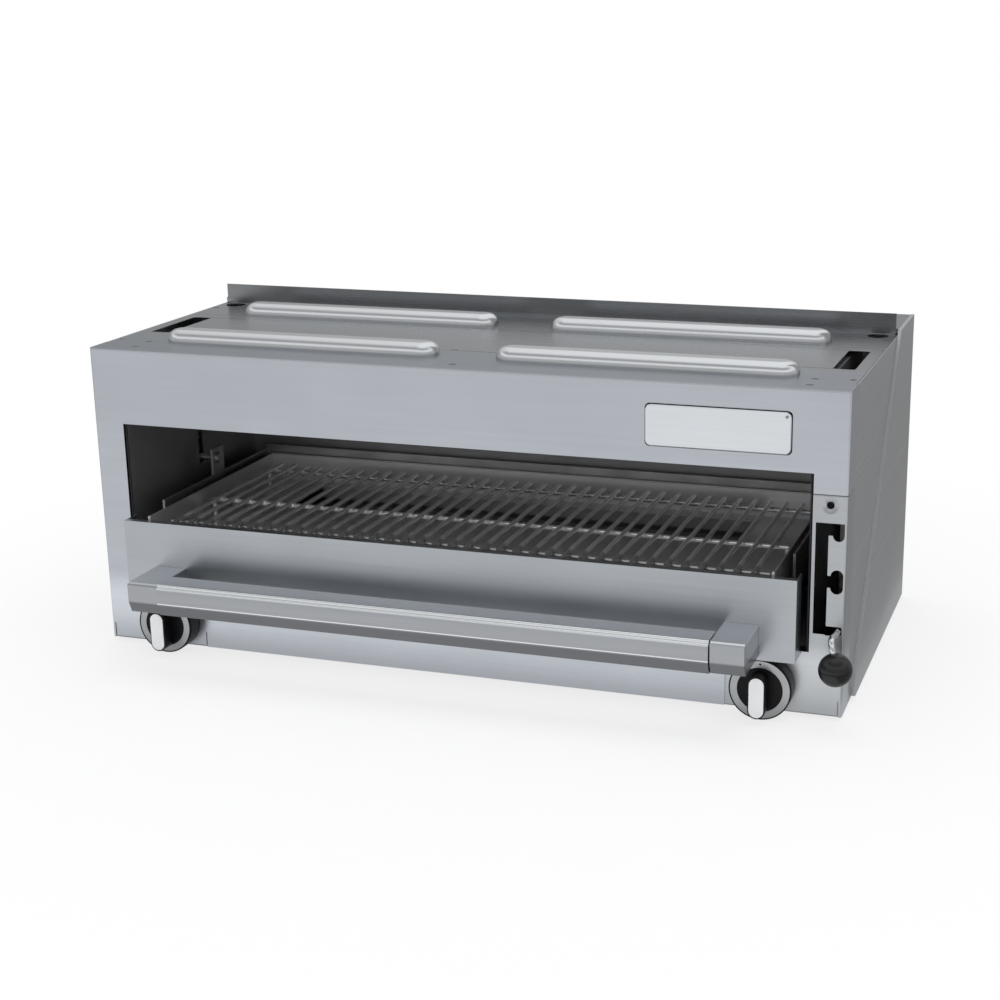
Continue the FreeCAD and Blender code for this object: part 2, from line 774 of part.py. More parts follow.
rests = []
for depth in ("rest_front_depth", "rest_rear_depth"):
    raised = rest(depth, "0", "body_height", "body_height + rest_rise")
    raised.Refine = True
    raised = rounded(raised, size("rest_round"), lambda edge: near(middle(edge).z, top + size("rest_rise")))
    hollow = rest(depth, "sheet", "body_height - 1", "body_height + rest_rise - sheet")
    hollow.Refine = True
    hollow = rounded(hollow, size("rest_round") - size("sheet"),
                     lambda edge: near(middle(edge).z, top + size("rest_rise") - size("sheet")))
    rib = cut(raised, hollow)
    rests += [rib, mirrored(rib)]
node("pan_rests", group(rests))

# sunk screws of the top strips
top_screws = group([
    fuse([cylinder("z", "screw_head_radius", "sheet - screw_sink", x, f"{FRONT} + {y}",
                   "body_height - sheet"),
          cylinder("z", "screw_shank_radius", "screw_reach", x, f"{FRONT} + {y}",
                   "body_height - sheet - screw_reach")])
    for x, y in front_screws + rear_screws + middle_screws
])
node("panel_screws", group([top_screws, back_screws]))

# side bracket on the right
by = [front + size("side_bracket_foot"), front + size("side_bracket_knee"), size("body_depth") / 2]
bracket_plate = prism([(by[0], 0), (by[1], size("side_bracket_height")),
                       (by[2], size("side_bracket_height")), (by[2], 0)],
                      SIDE, f"{SIDE} + side_bracket_thick")
bracket_plate = rounded(bracket_plate, size("side_bracket_corner"),
                        lambda edge: runs_along(edge, "x") and near(middle(edge).y, by[0]))
node("side_bracket", bracket_plate)

# nameplate, left bare
plate = box("plate_left", "plate_right", f"{FRONT} - plate_thick", FRONT, "plate_low", "plate_high")
plate = rounded(plate, size("plate_corner"), lambda edge: runs_along(edge, "y"))
plate = rounded(plate, size("plate_bevel"),
                lambda edge: near(middle(edge).y, front - size("plate_thick")), "Part::Chamfer")
node("nameplate", plate)
rivet = cylinder("y", "rivet_radius", "0.8", "plate_right - 4.5", f"{FRONT} - plate_thick - 0.8",
                 "plate_high - 4.5")
node("plate_rivet", rivet)

# cooking chamber
DEEP = (f"{FRONT} + opening_lip + 0.3", f"{FRONT} + chamber_back")
liner_left = cut(
    fuse([box("-chamber_half - sheet", "-chamber_half", *DEEP, "chamber_low", "chamber_high"),
          box("-chamber_half - sheet", "-chamber_half", f"{FRONT} + sheet + 0.3",
              f"{FRONT} + opening_lip + 1", "opening_low + 0.3", "opening_high - 0.5")]),
    box("-chamber_half - sheet - 1", "-chamber_half + 1",
        f"{FRONT} + guide_depth - stud_slot_half", f"{FRONT} + guide_depth + stud_slot_half",
        "stud_slot_low", "stud_slot_high"),
)
node("liner_left", liner_left)
node("liner_right", mirrored(liner_left))
VENTURI_Y = f"{FRONT} + venturi_depth"
node("liner_back", cut(
    box("-chamber_half - sheet", "chamber_half + sheet", f"{FRONT} + chamber_back",
        f"{FRONT} + chamber_back + sheet", "chamber_low", "chamber_high"),
    *[cylinder("y", "venturi_radius + 0.5", "sheet + 2", f"{s}venturi_across",
               f"{FRONT} + chamber_back - 1", "venturi_level") for s in ("-", "")],
))
node("chamber_floor", box("-chamber_half - sheet", "chamber_half + sheet",
                          f"{FRONT} + sheet + 0.3", f"{FRONT} + chamber_back + sheet",
                          "chamber_low - sheet", "chamber_low"))
node("heat_shield", box("-chamber_half - sheet", "chamber_half + sheet",
                        f"{FRONT} + opening_lip + 0.3", f"{FRONT} + chamber_back + sheet",
                        "chamber_high", "chamber_high + sheet"))
drip = cut(
    box("-drip_half", "drip_half", f"{FRONT} + drip_front", f"{FRONT} + drip_back",
        "chamber_low", "drip_high"),
    box("-drip_half + sheet", "drip_half - sheet", f"{FRONT} + drip_front + sheet",
        f"{FRONT} + drip_back - sheet", "chamber_low + sheet", "drip_high + 1"),
)
node("drip_pan", drip)

# burners
bx = ("burner_inner", "burner_outer")
by_text = (f"{FRONT} + burner_front", f"{FRONT} + burner_back")
inside_x = ("burner_inner + sheet", "burner_outer - sheet")
inside_y = (f"{FRONT} + burner_front + sheet", f"{FRONT} + burner_back - sheet")
burner = cut(
    box(*bx, *by_text, "burner_low", "burner_high"),
    box(*inside_x, *inside_y, "burner_low - 1", "burner_high - sheet"),
    cylinder("y", "venturi_bore", "sheet + 2", "venturi_across",
             f"{FRONT} + burner_back - sheet - 1", "venturi_level"),
)
node("burners", both_sides(burner))
tile = box(*inside_x, *inside_y, "tile_low", "tile_high")
node("burner_tiles", both_sides(tile))
screen_frame = cut(
    box(*inside_x, *inside_y, "tile_low - screen_thick", "tile_low"),
    box("burner_inner + screen_border", "burner_outer - screen_border",
        f"{FRONT} + burner_front + screen_border", f"{FRONT} + burner_back - screen_border",
        "tile_low - screen_thick - 1", "tile_low + 1"),
)
wire_count = int((size("burner_outer") - size("burner_inner") - 2 * size("screen_border"))
                 / size("screen_pitch"))
screen_wires = [
    cylinder("y", "screen_thick/2", "burner_back - burner_front - 20",
             f"burner_inner + screen_border + screen_pitch*{step}",
             f"{FRONT} + burner_front + 10", "tile_low - screen_thick/2")
    for step in range(1, wire_count + 1)
]
screen = fuse([screen_frame] + screen_wires)
node("burner_screens", both_sides(screen))
front_rail = box("-chamber_half", "chamber_half", f"{FRONT} + burner_front + sheet - rail_reach",
                 f"{FRONT} + burner_front + sheet", "burner_low - rail_thick", "burner_low")
rear_rail = box("-chamber_half", "chamber_half", f"{FRONT} + burner_back - sheet",
                f"{FRONT} + burner_back - sheet + rail_reach", "burner_low - rail_thick",
                "burner_low")
node("burner_rails", group([front_rail, rear_rail]))
MID_Y = f"{FRONT} + (burner_front + burner_back)/2"
pilot = fuse([
    cylinder("z", "3", "chamber_high - tile_high", "0", MID_Y, "tile_high"),
    cylinder("z", "5", "tile_thick + screen_thick", "0", MID_Y, "tile_low - screen_thick"),
])
node("pilot_burner", pilot)


def venturi_solid(radius):
    """Upright pipe that turns forward into the burner's back."""
    return [
        cylinder("z", radius, "venturi_level - venturi_low", "venturi_across", VENTURI_Y,
                 "venturi_low"),
        sphere(radius, "venturi_across", VENTURI_Y, "venturi_level"),
        cylinder("y", radius, "venturi_depth - burner_back", "venturi_across",
                 f"{FRONT} + burner_back", "venturi_level"),
    ]


venturi = cut(
    fuse(venturi_solid("venturi_radius")
         + [cone("z", "venturi_radius + venturi_flare", "venturi_radius", "3*venturi_flare",
                 "venturi_across", VENTURI_Y, "venturi_low")]),
    *venturi_solid("venturi_bore"),
    cone("z", "venturi_bore + venturi_flare", "venturi_bore", "3*venturi_flare - 2",
         "venturi_across", VENTURI_Y, "venturi_low - 0.01"),
)
node("venturi_tubes", both_sides(venturi))
orifice = fuse([
    cylinder("z", "6", "12", "venturi_across", VENTURI_Y, "venturi_low - orifice_gap - 20"),
    cylinder("z", "3", "8", "venturi_across", VENTURI_Y, "venturi_low - orifice_gap - 8"),
])
node("orifices", both_sides(orifice))

# gas line in the space under the chamber
KNOB_Z = "knob_height"
MANIFOLD_Y = f"{FRONT} + manifold_depth"


def manifold_solid(radius, past, wall):
    """Pipe behind both valves and on to the back; wall is what its end keeps."""
    end = f"(valve_across + 22.7 - {wall})"
    return [
        cylinder("x", radius, f"inlet_across + {end}", f"-{end}", MANIFOLD_Y, KNOB_Z),
        sphere(radius, "inlet_across", MANIFOLD_Y, KNOB_Z),
        cylinder("y", radius, f"{BACK} - 24 - ({MANIFOLD_Y}) + {past}", "inlet_across", MANIFOLD_Y,
                 KNOB_Z),
    ]


node("gas_manifold", cut(fuse(manifold_solid("manifold_radius", "0", "0")),
                         *manifold_solid("manifold_bore", "1", "4")))
inlet = cut(
    cylinder("y", "inlet_radius", "24 + inlet_reach", "inlet_across", f"{BACK} - 24", KNOB_Z),
    cylinder("y", "inlet_bore", "inlet_socket + 1", "inlet_across",
             f"{BACK} + inlet_reach - inlet_socket", KNOB_Z),
    cylinder("y", "manifold_bore", "20", "inlet_across", f"{BACK} - 25", KNOB_Z),
)
node("gas_inlet", inlet)
valve = cut(
    fuse([
        box("valve_across - valve_half", "valve_across + valve_half", f"{FRONT} + valve_front",
            f"{FRONT} + valve_back", "knob_height - valve_half", "knob_height + valve_half"),
        cylinder("y", "9", "manifold_depth - valve_back", "valve_across",
                 f"{FRONT} + valve_back", KNOB_Z),
        cylinder("z", "7", "tube_level - 6 - knob_height - valve_half + 2", "valve_across",
                 f"{FRONT} + valve_front + 21", "knob_height + valve_half - 2"),
    ]),
    cylinder("x", "manifold_radius", "60", "valve_across - 30", MANIFOLD_Y, KNOB_Z),
    cylinder("y", "stem_radius + stem_play", "13", "valve_across", f"{FRONT} + valve_front - 1",
             KNOB_Z),
)
node("gas_valves", both_sides(valve))
valve_x = size("valve_across")
outlet_y = front + size("valve_front") + 21
level = size("tube_level")
rear_y = front + size("venturi_depth")
supply = bent_rod([
    (valve_x, outlet_y, level - 6), (valve_x, outlet_y, level), (valve_x, rear_y, level),
    (size("venturi_across"), rear_y, level),
    (size("venturi_across"), rear_y, size("venturi_low") - size("orifice_gap") - 20),
], "tube_radius")
node("supply_tubes", both_sides(supply))


# knobs
def knob_parts(centre):
    """Black knob, satin ring, pointer insert and valve stem about one axis."""
    def disc(radius, near_face, far_face):
        return cylinder("y", radius, f"({far_face}) - ({near_face})", centre,
                        f"{FRONT} - ({far_face})", KNOB_Z)

    def pill(half, low, high, near_face, far_face):
        """Upright bar with round ends on the knob's face."""
        y0, y1 = f"{FRONT} - ({far_face})", f"{FRONT} - ({near_face})"
        length = f"({far_face}) - ({near_face})"
        return [
            box(f"{centre} - {half}", f"{centre} + {half}", y0, y1,
                f"{KNOB_Z} - {low} + {half}", f"{KNOB_Z} + {high} - {half}"),
            cylinder("y", half, length, centre, y0, f"{KNOB_Z} - {low} + {half}"),
            cylinder("y", half, length, centre, y0, f"{KNOB_Z} + {high} - {half}"),
        ]

    ring = cut(disc("bezel_radius", "bezel_back", "bezel_face"),
               disc("bezel_inner", "bezel_back - 1", "bezel_face + 1"))
    insert = fuse(pill("insert_half", "insert_low", "insert_high",
                       "insert_face - insert_depth", "insert_face"))
    body = cut(
        fuse([disc("knob_radius", "knob_gap", "bezel_back"),
              disc("bezel_inner", "bezel_back - 1", "bezel_face - 0.8"),
              *pill("grip_half", "grip_low", "grip_high", "bezel_back - 1", "grip_face")]),
        disc("knob_radius - 3", "knob_gap - 1", "bezel_back - 4"),
    )
    hub = disc("9", "knob_gap + 2", "bezel_back - 2")
    # The grip's foot would run into the ring below the axis, so the ring keeps its room.
    grip_room = fuse(pill("grip_half", "grip_low", "grip_high", "bezel_back - 2", "bezel_face + 1"))
    stem_bore = cylinder("y", "stem_radius", "bezel_face + 20", centre,
                         f"{FRONT} - bezel_face - 4", KNOB_Z)
    body = cut(fuse([body, hub]), stem_bore, *pill("insert_half", "insert_low", "insert_high",
                                                   "insert_face - insert_depth", "insert_face + 1"))
    stem = cylinder("y", "stem_radius", "bezel_face + 4 + valve_front + 11.5", centre,
                    f"{FRONT} - bezel_face - 4", KNOB_Z)
    return body, cut(ring, grip_room), insert, stem


for side_name, centre in (("left", "-valve_across"), ("right", "valve_across")):
    body, ring, insert, stem = knob_parts(centre)
    node(f"knob_{side_name}", body)
    node(f"knob_ring_{side_name}", ring)
    node(f"knob_insert_{side_name}", insert)
    node(f"valve_stem_{side_name}", stem)

# lift: guide rods, brackets, sliding blocks
GUIDE_Y = f"{FRONT} + guide_depth"
guide = cylinder("z", "guide_radius", "guide_high - guide_low", "guide_across", GUIDE_Y, "guide_low")
node("guide_rods", both_sides(guide))
guide_brackets = []
for low in ("guide_low", "guide_high - guide_shelf"):
    shelf = cut(
        box("guide_across - 11", f"{SIDE} - sheet", f"{GUIDE_Y} - 8.5", f"{GUIDE_Y} + 8.5",
            low, f"{low} + guide_shelf"),
        cylinder("z", "guide_radius", "guide_shelf + 6", "guide_across", GUIDE_Y, f"{low} - 3"),
    )
    guide_brackets += [shelf, mirrored(shelf)]
node("guide_brackets", group(guide_brackets))
block = cut(
    box("guide_across - block_half", "guide_across + block_half", f"{GUIDE_Y} - block_half",
        f"{GUIDE_Y} + block_half", "block_low", "block_high"),
    cylinder("z", "guide_radius + guide_play", "block_high - block_low + 2", "guide_across",
             GUIDE_Y, "block_low - 1"),
    cylinder("x", "stud_radius", "7.5", "guide_across - block_half - 2", GUIDE_Y, "stud_height"),
)
node("slide_blocks", both_sides(block))
stud = fuse([
    cylinder("x", "stud_radius", "guide_across - block_half + 5.5 - carriage_outer + carriage_web",
             "carriage_outer - carriage_web", GUIDE_Y, "stud_height"),
    cylinder("x", "stud_head_radius", "3.5", "carriage_outer - carriage_web - 3.5", GUIDE_Y,
             "stud_height"),
    cylinder("x", "stud_head_radius", "4", "carriage_outer", GUIDE_Y, "stud_height"),
])
node("lift_studs", both_sides(stud))
WEB = ("carriage_outer - carriage_web", "carriage_outer")
rail = cut(
    fuse([
        box(*WEB, f"{FRONT} + carriage_front", f"{FRONT} + carriage_back", "carriage_low",
            "carriage_high"),
        box(*WEB, f"{GUIDE_Y} - ear_half", f"{GUIDE_Y} + ear_half", "carriage_high - 1", "ear_high"),
        box("carriage_outer - carriage_web - carriage_flange", "carriage_outer - 1",
            f"{FRONT} + carriage_front", f"{FRONT} + carriage_back", "carriage_low",
            "carriage_low + 3"),
    ]),
    cylinder("x", "stud_radius", "10", "carriage_outer - 6", GUIDE_Y, "stud_height"),
)
node("carriage_rail_right", rail)
node("carriage_rail_left", mirrored(rail))
node("carriage_rear_bar", box("-carriage_outer", "carriage_outer", f"{FRONT} + carriage_back",
                              f"{FRONT} + carriage_back + rear_bar_thick", "carriage_low",
                              "carriage_low + rear_bar_height"))

# gate lever
PIVOT_Y = f"{FRONT} + pivot_depth"
strap_x = ("guide_across - block_half", "guide_across + block_half")
carrier = cut(
    fuse([
        box(*strap_x, f"{GUIDE_Y} - block_half - 4", f"{GUIDE_Y} - block_half",
            "lever_height - eye_half - 5", "block_high"),
        *[box("pivot_across - 9", "pivot_across + 9", f"{PIVOT_Y} - 9",
              f"{GUIDE_Y} - block_half - 3", low, f"{low} + 4")
          for low in ("lever_height - eye_half - 5", "lever_height + eye_half + 1")],
    ]),
    cylinder("z", "pivot_radius", "40", "pivot_across", PIVOT_Y, "lever_height - 20"),
)
node("lever_carrier", carrier)
node("lever_pin", fuse([
    cylinder("z", "pivot_radius", "24", "pivot_across", PIVOT_Y, "lever_height - 12"),
    cylinder("z", "pivot_radius + 2", "2.5", "pivot_across", PIVOT_Y, "lever_height + 10"),
]))
lever_z = size("lever_height")
notch_x = size("lever_notch")
arm = fuse([
    cylinder("z", "eye_radius", "2*eye_half", "pivot_across", PIVOT_Y, "lever_height - eye_half"),
    bent_rod([(size("pivot_across"), front + size("pivot_depth") - 3, lever_z),
              (size("pivot_across"), front + size("pivot_depth") - 32, lever_z),
              (notch_x, front + size("shank_back") + 24, lever_z),
              (notch_x, front + size("shank_back"), lever_z)], "rod_radius"),
])
node("lever_arm", cut(arm, cylinder("z", "pivot_radius + pivot_play", "20", "pivot_across",
                                    PIVOT_Y, "lever_height - 10")))
node("lever_shank", cylinder("y", "rod_radius", "shank_back - shank_front", "lever_notch",
                             f"{FRONT} + shank_front", "lever_height"))
ball_centre = (size("ball_across"), front + size("ball_depth"), size("ball_height"))
bend_point = (notch_x - size("bend_left"), front - size("bend_ahead"), lever_z + 1)
handle_rod = bent_rod([
    (notch_x, front + size("shank_front"), lever_z),
    (notch_x, front + size("shank_front") - 5, lever_z), bend_point,
    (ball_centre[0] - 0.6, ball_centre[1], ball_centre[2] + 9),
], "rod_radius")
node("lever_handle", handle_rod)
groove = doc.addObject("Part::Torus", "groove")
tie(groove, "Radius1", "ball_radius")
tie(groove, "Radius2", "0.7")
place(groove, *ball_centre)
node("lever_ball", cut(sphere("ball_radius", *ball_centre), groove, handle_rod))

# pull-out rack: pan, grid, apron and handle
pan_outer = box("-pan_half", "pan_half", f"{FRONT} + pan_front", f"{FRONT} + pan_back",
                "pan_low", "pan_high")
pan_inner = box("-pan_half + sheet", "pan_half - sheet", f"{FRONT} + pan_front + sheet",
                f"{FRONT} + pan_back - sheet", "pan_low + sheet", "pan_high + 1")
trough = box("-trough_half", "trough_half", f"{FRONT} + trough_front", f"{FRONT} + trough_back",
             "pan_low - 1", "pan_low + sheet + 1")
trough_flange = box("-trough_half", "trough_half", f"{FRONT} + trough_back",
                    f"{FRONT} + trough_back + sheet", "pan_low - trough_flange_drop",
                    "pan_low + sheet/2")
rolled_edge = cylinder("x", "1.2", "2*pan_half - 6", "-pan_half + 3",
                       f"{FRONT} + pan_back - 0.6", "pan_high")
front_drop = box("-pan_half + 3", "pan_half - 3", f"{FRONT} + pan_front - 1",
                 f"{FRONT} + pan_front + sheet + 1", "apron_high - pan_front_drop", "pan_high + 1")
pan_floor = cut(pan_outer, pan_inner, trough, front_drop)
stays = [box(f"{x} - 14", f"{x} + 14", f"{FRONT} - apron_face + sheet", f"{FRONT} + pan_front + 0.5",
             "pan_low + 7.2", "apron_high - pan_front_drop - 2") for x in ("-pan_half*0.83", "0", "pan_half*0.83")]
lug = box("pan_half - 3", "pan_half", f"{FRONT} + pan_front - 2", f"{FRONT} + pan_front + 1",
          "pan_high - 20", "pan_high + 0.5")
node("rack_pan", fuse([pan_floor, trough_flange, rolled_edge, *stays, lug, mirrored(lug)]))

rods = []
span = size("grid_pitch") * size("grid_half_count")
for step in range(-int(size("grid_half_count")), int(size("grid_half_count")) + 1):
    rods.append(cylinder("y", "grid_rod_radius", "grid_back - grid_front", f"{step}*grid_pitch",
                         f"{FRONT} + grid_front", "grid_height"))
BAR_Z = "grid_height - grid_rod_radius - grid_bar_radius + weld_sink"
BAR_HALF = "(pan_half - grid_bar_gap)"
feet = []
for depth in ("grid_front + 16", "(grid_front + grid_back)/2 - 19", "grid_back - 10.5"):
    y = f"{FRONT} + {depth}"
    bar = cylinder("x", "grid_bar_radius", f"2*{BAR_HALF}", f"-{BAR_HALF}", y, BAR_Z)
    rods.append(bar)
    foot = cut(fuse([
        sphere("grid_bar_radius", BAR_HALF, y, BAR_Z),
        cylinder("z", "grid_bar_radius", f"{BAR_Z} - pan_low - sheet", BAR_HALF, y,
                 "pan_low + sheet"),
    ]), bar)
    feet += [foot, mirrored(foot)]
node("rack_grid", fuse(rods))
node("grid_feet", group(feet))

apron = cut(
    box("-apron_half", "apron_half", f"{FRONT} - apron_face", f"{FRONT} - apron_stand_off",
        "apron_low", "apron_high"),
    box("-apron_half + sheet", "apron_half - sheet", f"{FRONT} - apron_face + sheet",
        f"{FRONT} + 1", "apron_low + sheet", "apron_high - sheet"),
    box("-apron_half + sheet", "apron_half - sheet", f"{FRONT} - apron_face + 8",
        f"{FRONT} + 1", "apron_low - 1", "apron_high + 1"),
)
node("rack_apron", apron)

# handle outlines: distance ahead of the front face, height
handle_z = size("apron_low") + size("handle_top")
reach = front - size("handle_reach")
apron_y = front - size("apron_face")
rod_place = (f"{FRONT} - handle_reach + 14", "apron_low + handle_top - 14")
bracket_outline = [(apron_y, handle_z), (reach + 3, handle_z), (reach, handle_z - 2.5),
                   (reach, handle_z - 23), (reach + 5, handle_z - 35), (apron_y, handle_z - 35)]
bracket = cut(
    prism(bracket_outline, "handle_inner", "handle_outer"),
    box("handle_inner + handle_wall", "handle_outer - handle_wall", reach + 6, apron_y,
        handle_z - 33, handle_z - 2),
    cylinder("x", "handle_rod_radius", "handle_wall + 15", "handle_inner - 5", *rod_place),
)
node("handle_brackets", both_sides(bracket))
wall = size("handle_wall")
bar_face = reach - 1.8
bar_back = reach + 30
bar_top = handle_z + 1
bar_outline = [(bar_back, bar_top), (bar_face + 4, bar_top), (bar_face, bar_top - 4.5),
               (bar_face, bar_top - 23), (bar_face + 5, bar_top - 36.5),
               (bar_face + 12, bar_top - 36.5), (bar_back, bar_top - 33)]
bar_hollow = [(bar_back + 1, bar_top - wall), (bar_face + 4.8, bar_top - wall),
              (bar_face + wall, bar_top - 5.5), (bar_face + wall, bar_top - 22.5),
              (bar_face + 6.5, bar_top - 34.5), (bar_face + 12, bar_top - 34.5),
              (bar_face + 12, bar_top - 27), (bar_back + 1, bar_top - 27)]
bar_tube = cut(prism(bar_outline, "-bar_half", "bar_half"),
               prism(bar_hollow, "-bar_half + handle_wall", "bar_half - handle_wall"),
               cylinder("x", "handle_rod_radius", "2*bar_half + 4", "-bar_half - 2", *rod_place))
node("handle_bar", bar_tube)
node("handle_rod", cylinder("x", "handle_rod_radius", "2*handle_inner + 12", "-handle_inner - 6",
                            *rod_place))

doc.recompute()
for obj in doc.Objects:
    if "Invalid" in obj.State or "Error" in obj.State:
        raise RuntimeError(f"{obj.Label} did not compute: {obj.State}")
os.makedirs("parts", exist_ok=True)
for obj in NODES:
    shape = obj.Shape
    if shape.isNull() or not shape.isValid():
        raise RuntimeError(f"{obj.Label} has no valid shape")
    if not shape.Solids:
        raise RuntimeError(f"{obj.Label} has no solid")
    shape.exportStep(f"parts/{obj.Label}.step")
    bounds = shape.BoundBox
    print(f"{obj.Label}: {len(shape.Solids)} solid(s), {shape.Volume / 1000:.1f} cm3, "
          f"x {bounds.XMin:.1f} to {bounds.XMax:.1f}, y {bounds.YMin:.1f} to {bounds.YMax:.1f}, "
          f"z {bounds.ZMin:.1f} to {bounds.ZMax:.1f}")
print(len(NODES), "sub-parts")
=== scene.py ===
"""Salamander grill: finishes, fine pieces, light and camera around the measured frame."""

import math

import bmesh
import bpy
from mathutils import Matrix, Vector


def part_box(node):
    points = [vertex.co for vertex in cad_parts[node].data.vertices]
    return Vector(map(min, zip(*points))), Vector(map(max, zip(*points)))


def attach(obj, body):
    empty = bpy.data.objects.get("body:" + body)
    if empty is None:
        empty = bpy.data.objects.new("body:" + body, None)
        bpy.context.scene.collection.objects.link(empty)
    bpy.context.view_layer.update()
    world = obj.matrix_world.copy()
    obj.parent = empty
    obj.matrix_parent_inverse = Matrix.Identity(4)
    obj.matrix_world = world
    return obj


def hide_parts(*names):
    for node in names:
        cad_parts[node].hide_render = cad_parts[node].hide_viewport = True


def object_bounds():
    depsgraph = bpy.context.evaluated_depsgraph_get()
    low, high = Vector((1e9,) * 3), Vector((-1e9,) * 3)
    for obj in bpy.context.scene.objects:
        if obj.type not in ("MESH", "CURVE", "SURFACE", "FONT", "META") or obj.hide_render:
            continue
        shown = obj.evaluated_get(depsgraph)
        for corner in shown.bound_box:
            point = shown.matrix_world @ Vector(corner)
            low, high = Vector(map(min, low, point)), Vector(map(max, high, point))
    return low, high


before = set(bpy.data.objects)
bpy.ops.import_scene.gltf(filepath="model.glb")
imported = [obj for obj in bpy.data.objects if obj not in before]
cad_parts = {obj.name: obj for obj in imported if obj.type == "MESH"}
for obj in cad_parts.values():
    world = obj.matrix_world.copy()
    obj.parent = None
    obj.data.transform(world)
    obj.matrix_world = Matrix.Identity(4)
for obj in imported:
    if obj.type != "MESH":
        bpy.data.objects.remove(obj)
cad_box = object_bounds()
scene = bpy.context.scene
MM = 0.001


# Node helpers

def put(tree, kind, ins=None, out=0, **props):
    """Add a shader node, fill its inputs with numbers or sockets, give back an output."""
    node = tree.nodes.new("ShaderNode" + kind)
    for key, value in props.items():
        setattr(node, key, value)
    for key, value in (ins or {}).items():
        socket = node.inputs[key]
        if isinstance(value, bpy.types.NodeSocket):
            tree.links.new(value, socket)
        else:
            socket.default_value = value
    return node.outputs[out]


def calc(tree, operation, a, b=0.0):
    return put(tree, "Math", {0: a, 1: b}, operation=operation)


def remap(tree, value, low, high, new_low, new_high, smooth=False):
    kind = "SMOOTHSTEP" if smooth else "LINEAR"
    return put(tree, "MapRange", {"Value": value, "From Min": low, "From Max": high,
                                  "To Min": new_low, "To Max": new_high},
               interpolation_type=kind, clamp=True)


def stretched(tree, vector, scale):
    return put(tree, "VectorMath", {0: vector, 1: scale}, operation="MULTIPLY")


def noise(tree, vector, scale, detail=2.0, roughness=0.5, distortion=0.0):
    return put(tree, "TexNoise", {"Vector": vector, "Scale": scale, "Detail": detail,
                                  "Roughness": roughness, "Distortion": distortion})


def blend_colour(tree, factor, a, b, kind="MIX"):
    node = tree.nodes.new("ShaderNodeMix")
    node.data_type = "RGBA"
    node.blend_type = kind
    for index, value in ((0, factor), (6, a), (7, b)):
        if isinstance(value, bpy.types.NodeSocket):
            tree.links.new(value, node.inputs[index])
        elif index == 0:
            node.inputs[index].default_value = value
        else:
            node.inputs[index].default_value = (*value, 1.0)
    return node.outputs[2]


def ramp(tree, factor, stops):
    node = tree.nodes.new("ShaderNodeValToRGB")
    tree.links.new(factor, node.inputs[0])
    points = node.color_ramp.elements
    while len(points) < len(stops):
        points.new(0.5)
    for point, (place, colour) in zip(points, stops):
        point.position = place
        point.color = (*colour, 1.0)
    return node.outputs[0]


def bump(tree, height, distance, strength):
    return put(tree, "Bump", {"Height": height, "Distance": distance, "Strength": strength})


def cleared(owner):
    """Empty node tree of a material or world."""
    owner.use_nodes = True
    owner.node_tree.nodes.clear()
    return owner.node_tree


def new_group(name, inputs, outputs):
    """Node group with sockets; gives back the tree, its input and its output sockets."""
    tree = bpy.data.node_groups.new(name, "ShaderNodeTree")
    for label, kind, start in inputs:
        socket = tree.interface.new_socket(label, in_out="INPUT", socket_type=kind)
        if start is not None:
            socket.default_value = start
    for label, kind in outputs:
        tree.interface.new_socket(label, in_out="OUTPUT", socket_type=kind)
    entry = tree.nodes.new("NodeGroupInput")
    leave = tree.nodes.new("NodeGroupOutput")
    return tree, entry.outputs, leave.inputs


def use(tree, group, **ins):
    """Place a group in a material; gives back its outputs by name."""
    node = tree.nodes.new("ShaderNodeGroup")
    node.node_tree = group
    for key, value in ins.items():
        socket = node.inputs[key]
        if isinstance(value, bpy.types.NodeSocket):
            tree.links.new(value, socket)
        else:
            socket.default_value = value
    return node.outputs


# Shared effects: they give masks, values, colours and normals only

FLOAT, VECTOR, COLOUR = "NodeSocketFloat", "NodeSocketVector", "NodeSocketColor"

# Fine lines that a grinding belt leaves, drawn out along the sheet.
GRAIN, gi, go = new_group("belt_grain", [("Vector", VECTOR, None), ("Stretch", VECTOR, None)],
                          [("Lines", FLOAT)])
lines_at = stretched(GRAIN, gi["Vector"], gi["Stretch"])
hair = noise(GRAIN, lines_at, 1.0, 4.0, 0.62)
broad = noise(GRAIN, lines_at, 0.22, 2.0, 0.5)
GRAIN.links.new(put(GRAIN, "Math", {0: hair, 1: 0.72, 2: calc(GRAIN, "MULTIPLY", broad, 0.28)},
                    operation="MULTIPLY_ADD"), go["Lines"])

# Wiped marks on a surface that hands touch.
HANDLED, hi, ho = new_group("handled", [("Vector", VECTOR, None)], [("Marks", FLOAT)])
clouds = noise(HANDLED, stretched(HANDLED, hi["Vector"], (5.0, 5.0, 9.0)), 1.0, 3.0, 0.55, 0.6)
HANDLED.links.new(remap(HANDLED, clouds, 0.32, 0.7, 0.0, 1.0, True), ho["Marks"])

# Heat and grease: brown to blue-grey clouding on the parts near the flame.
HEATED, ti, to = new_group("heated", [("Vector", VECTOR, None), ("Amount", FLOAT, 0.5)],
                           [("Mask", FLOAT), ("Tint", COLOUR)])
patches = noise(HEATED, ti["Vector"], 9.0, 5.0, 0.6, 0.8)
HEATED.links.new(calc(HEATED, "MULTIPLY", remap(HEATED, patches, 0.35, 0.75, 0.0, 1.0, True),
                      ti["Amount"]), to["Mask"])
HEATED.links.new(ramp(HEATED, noise(HEATED, ti["Vector"], 4.0, 2.0),
                      [(0.3, (0.26, 0.24, 0.22)), (0.55, (0.22, 0.215, 0.21)),
                       (0.75, (0.17, 0.18, 0.20))]), to["Tint"])

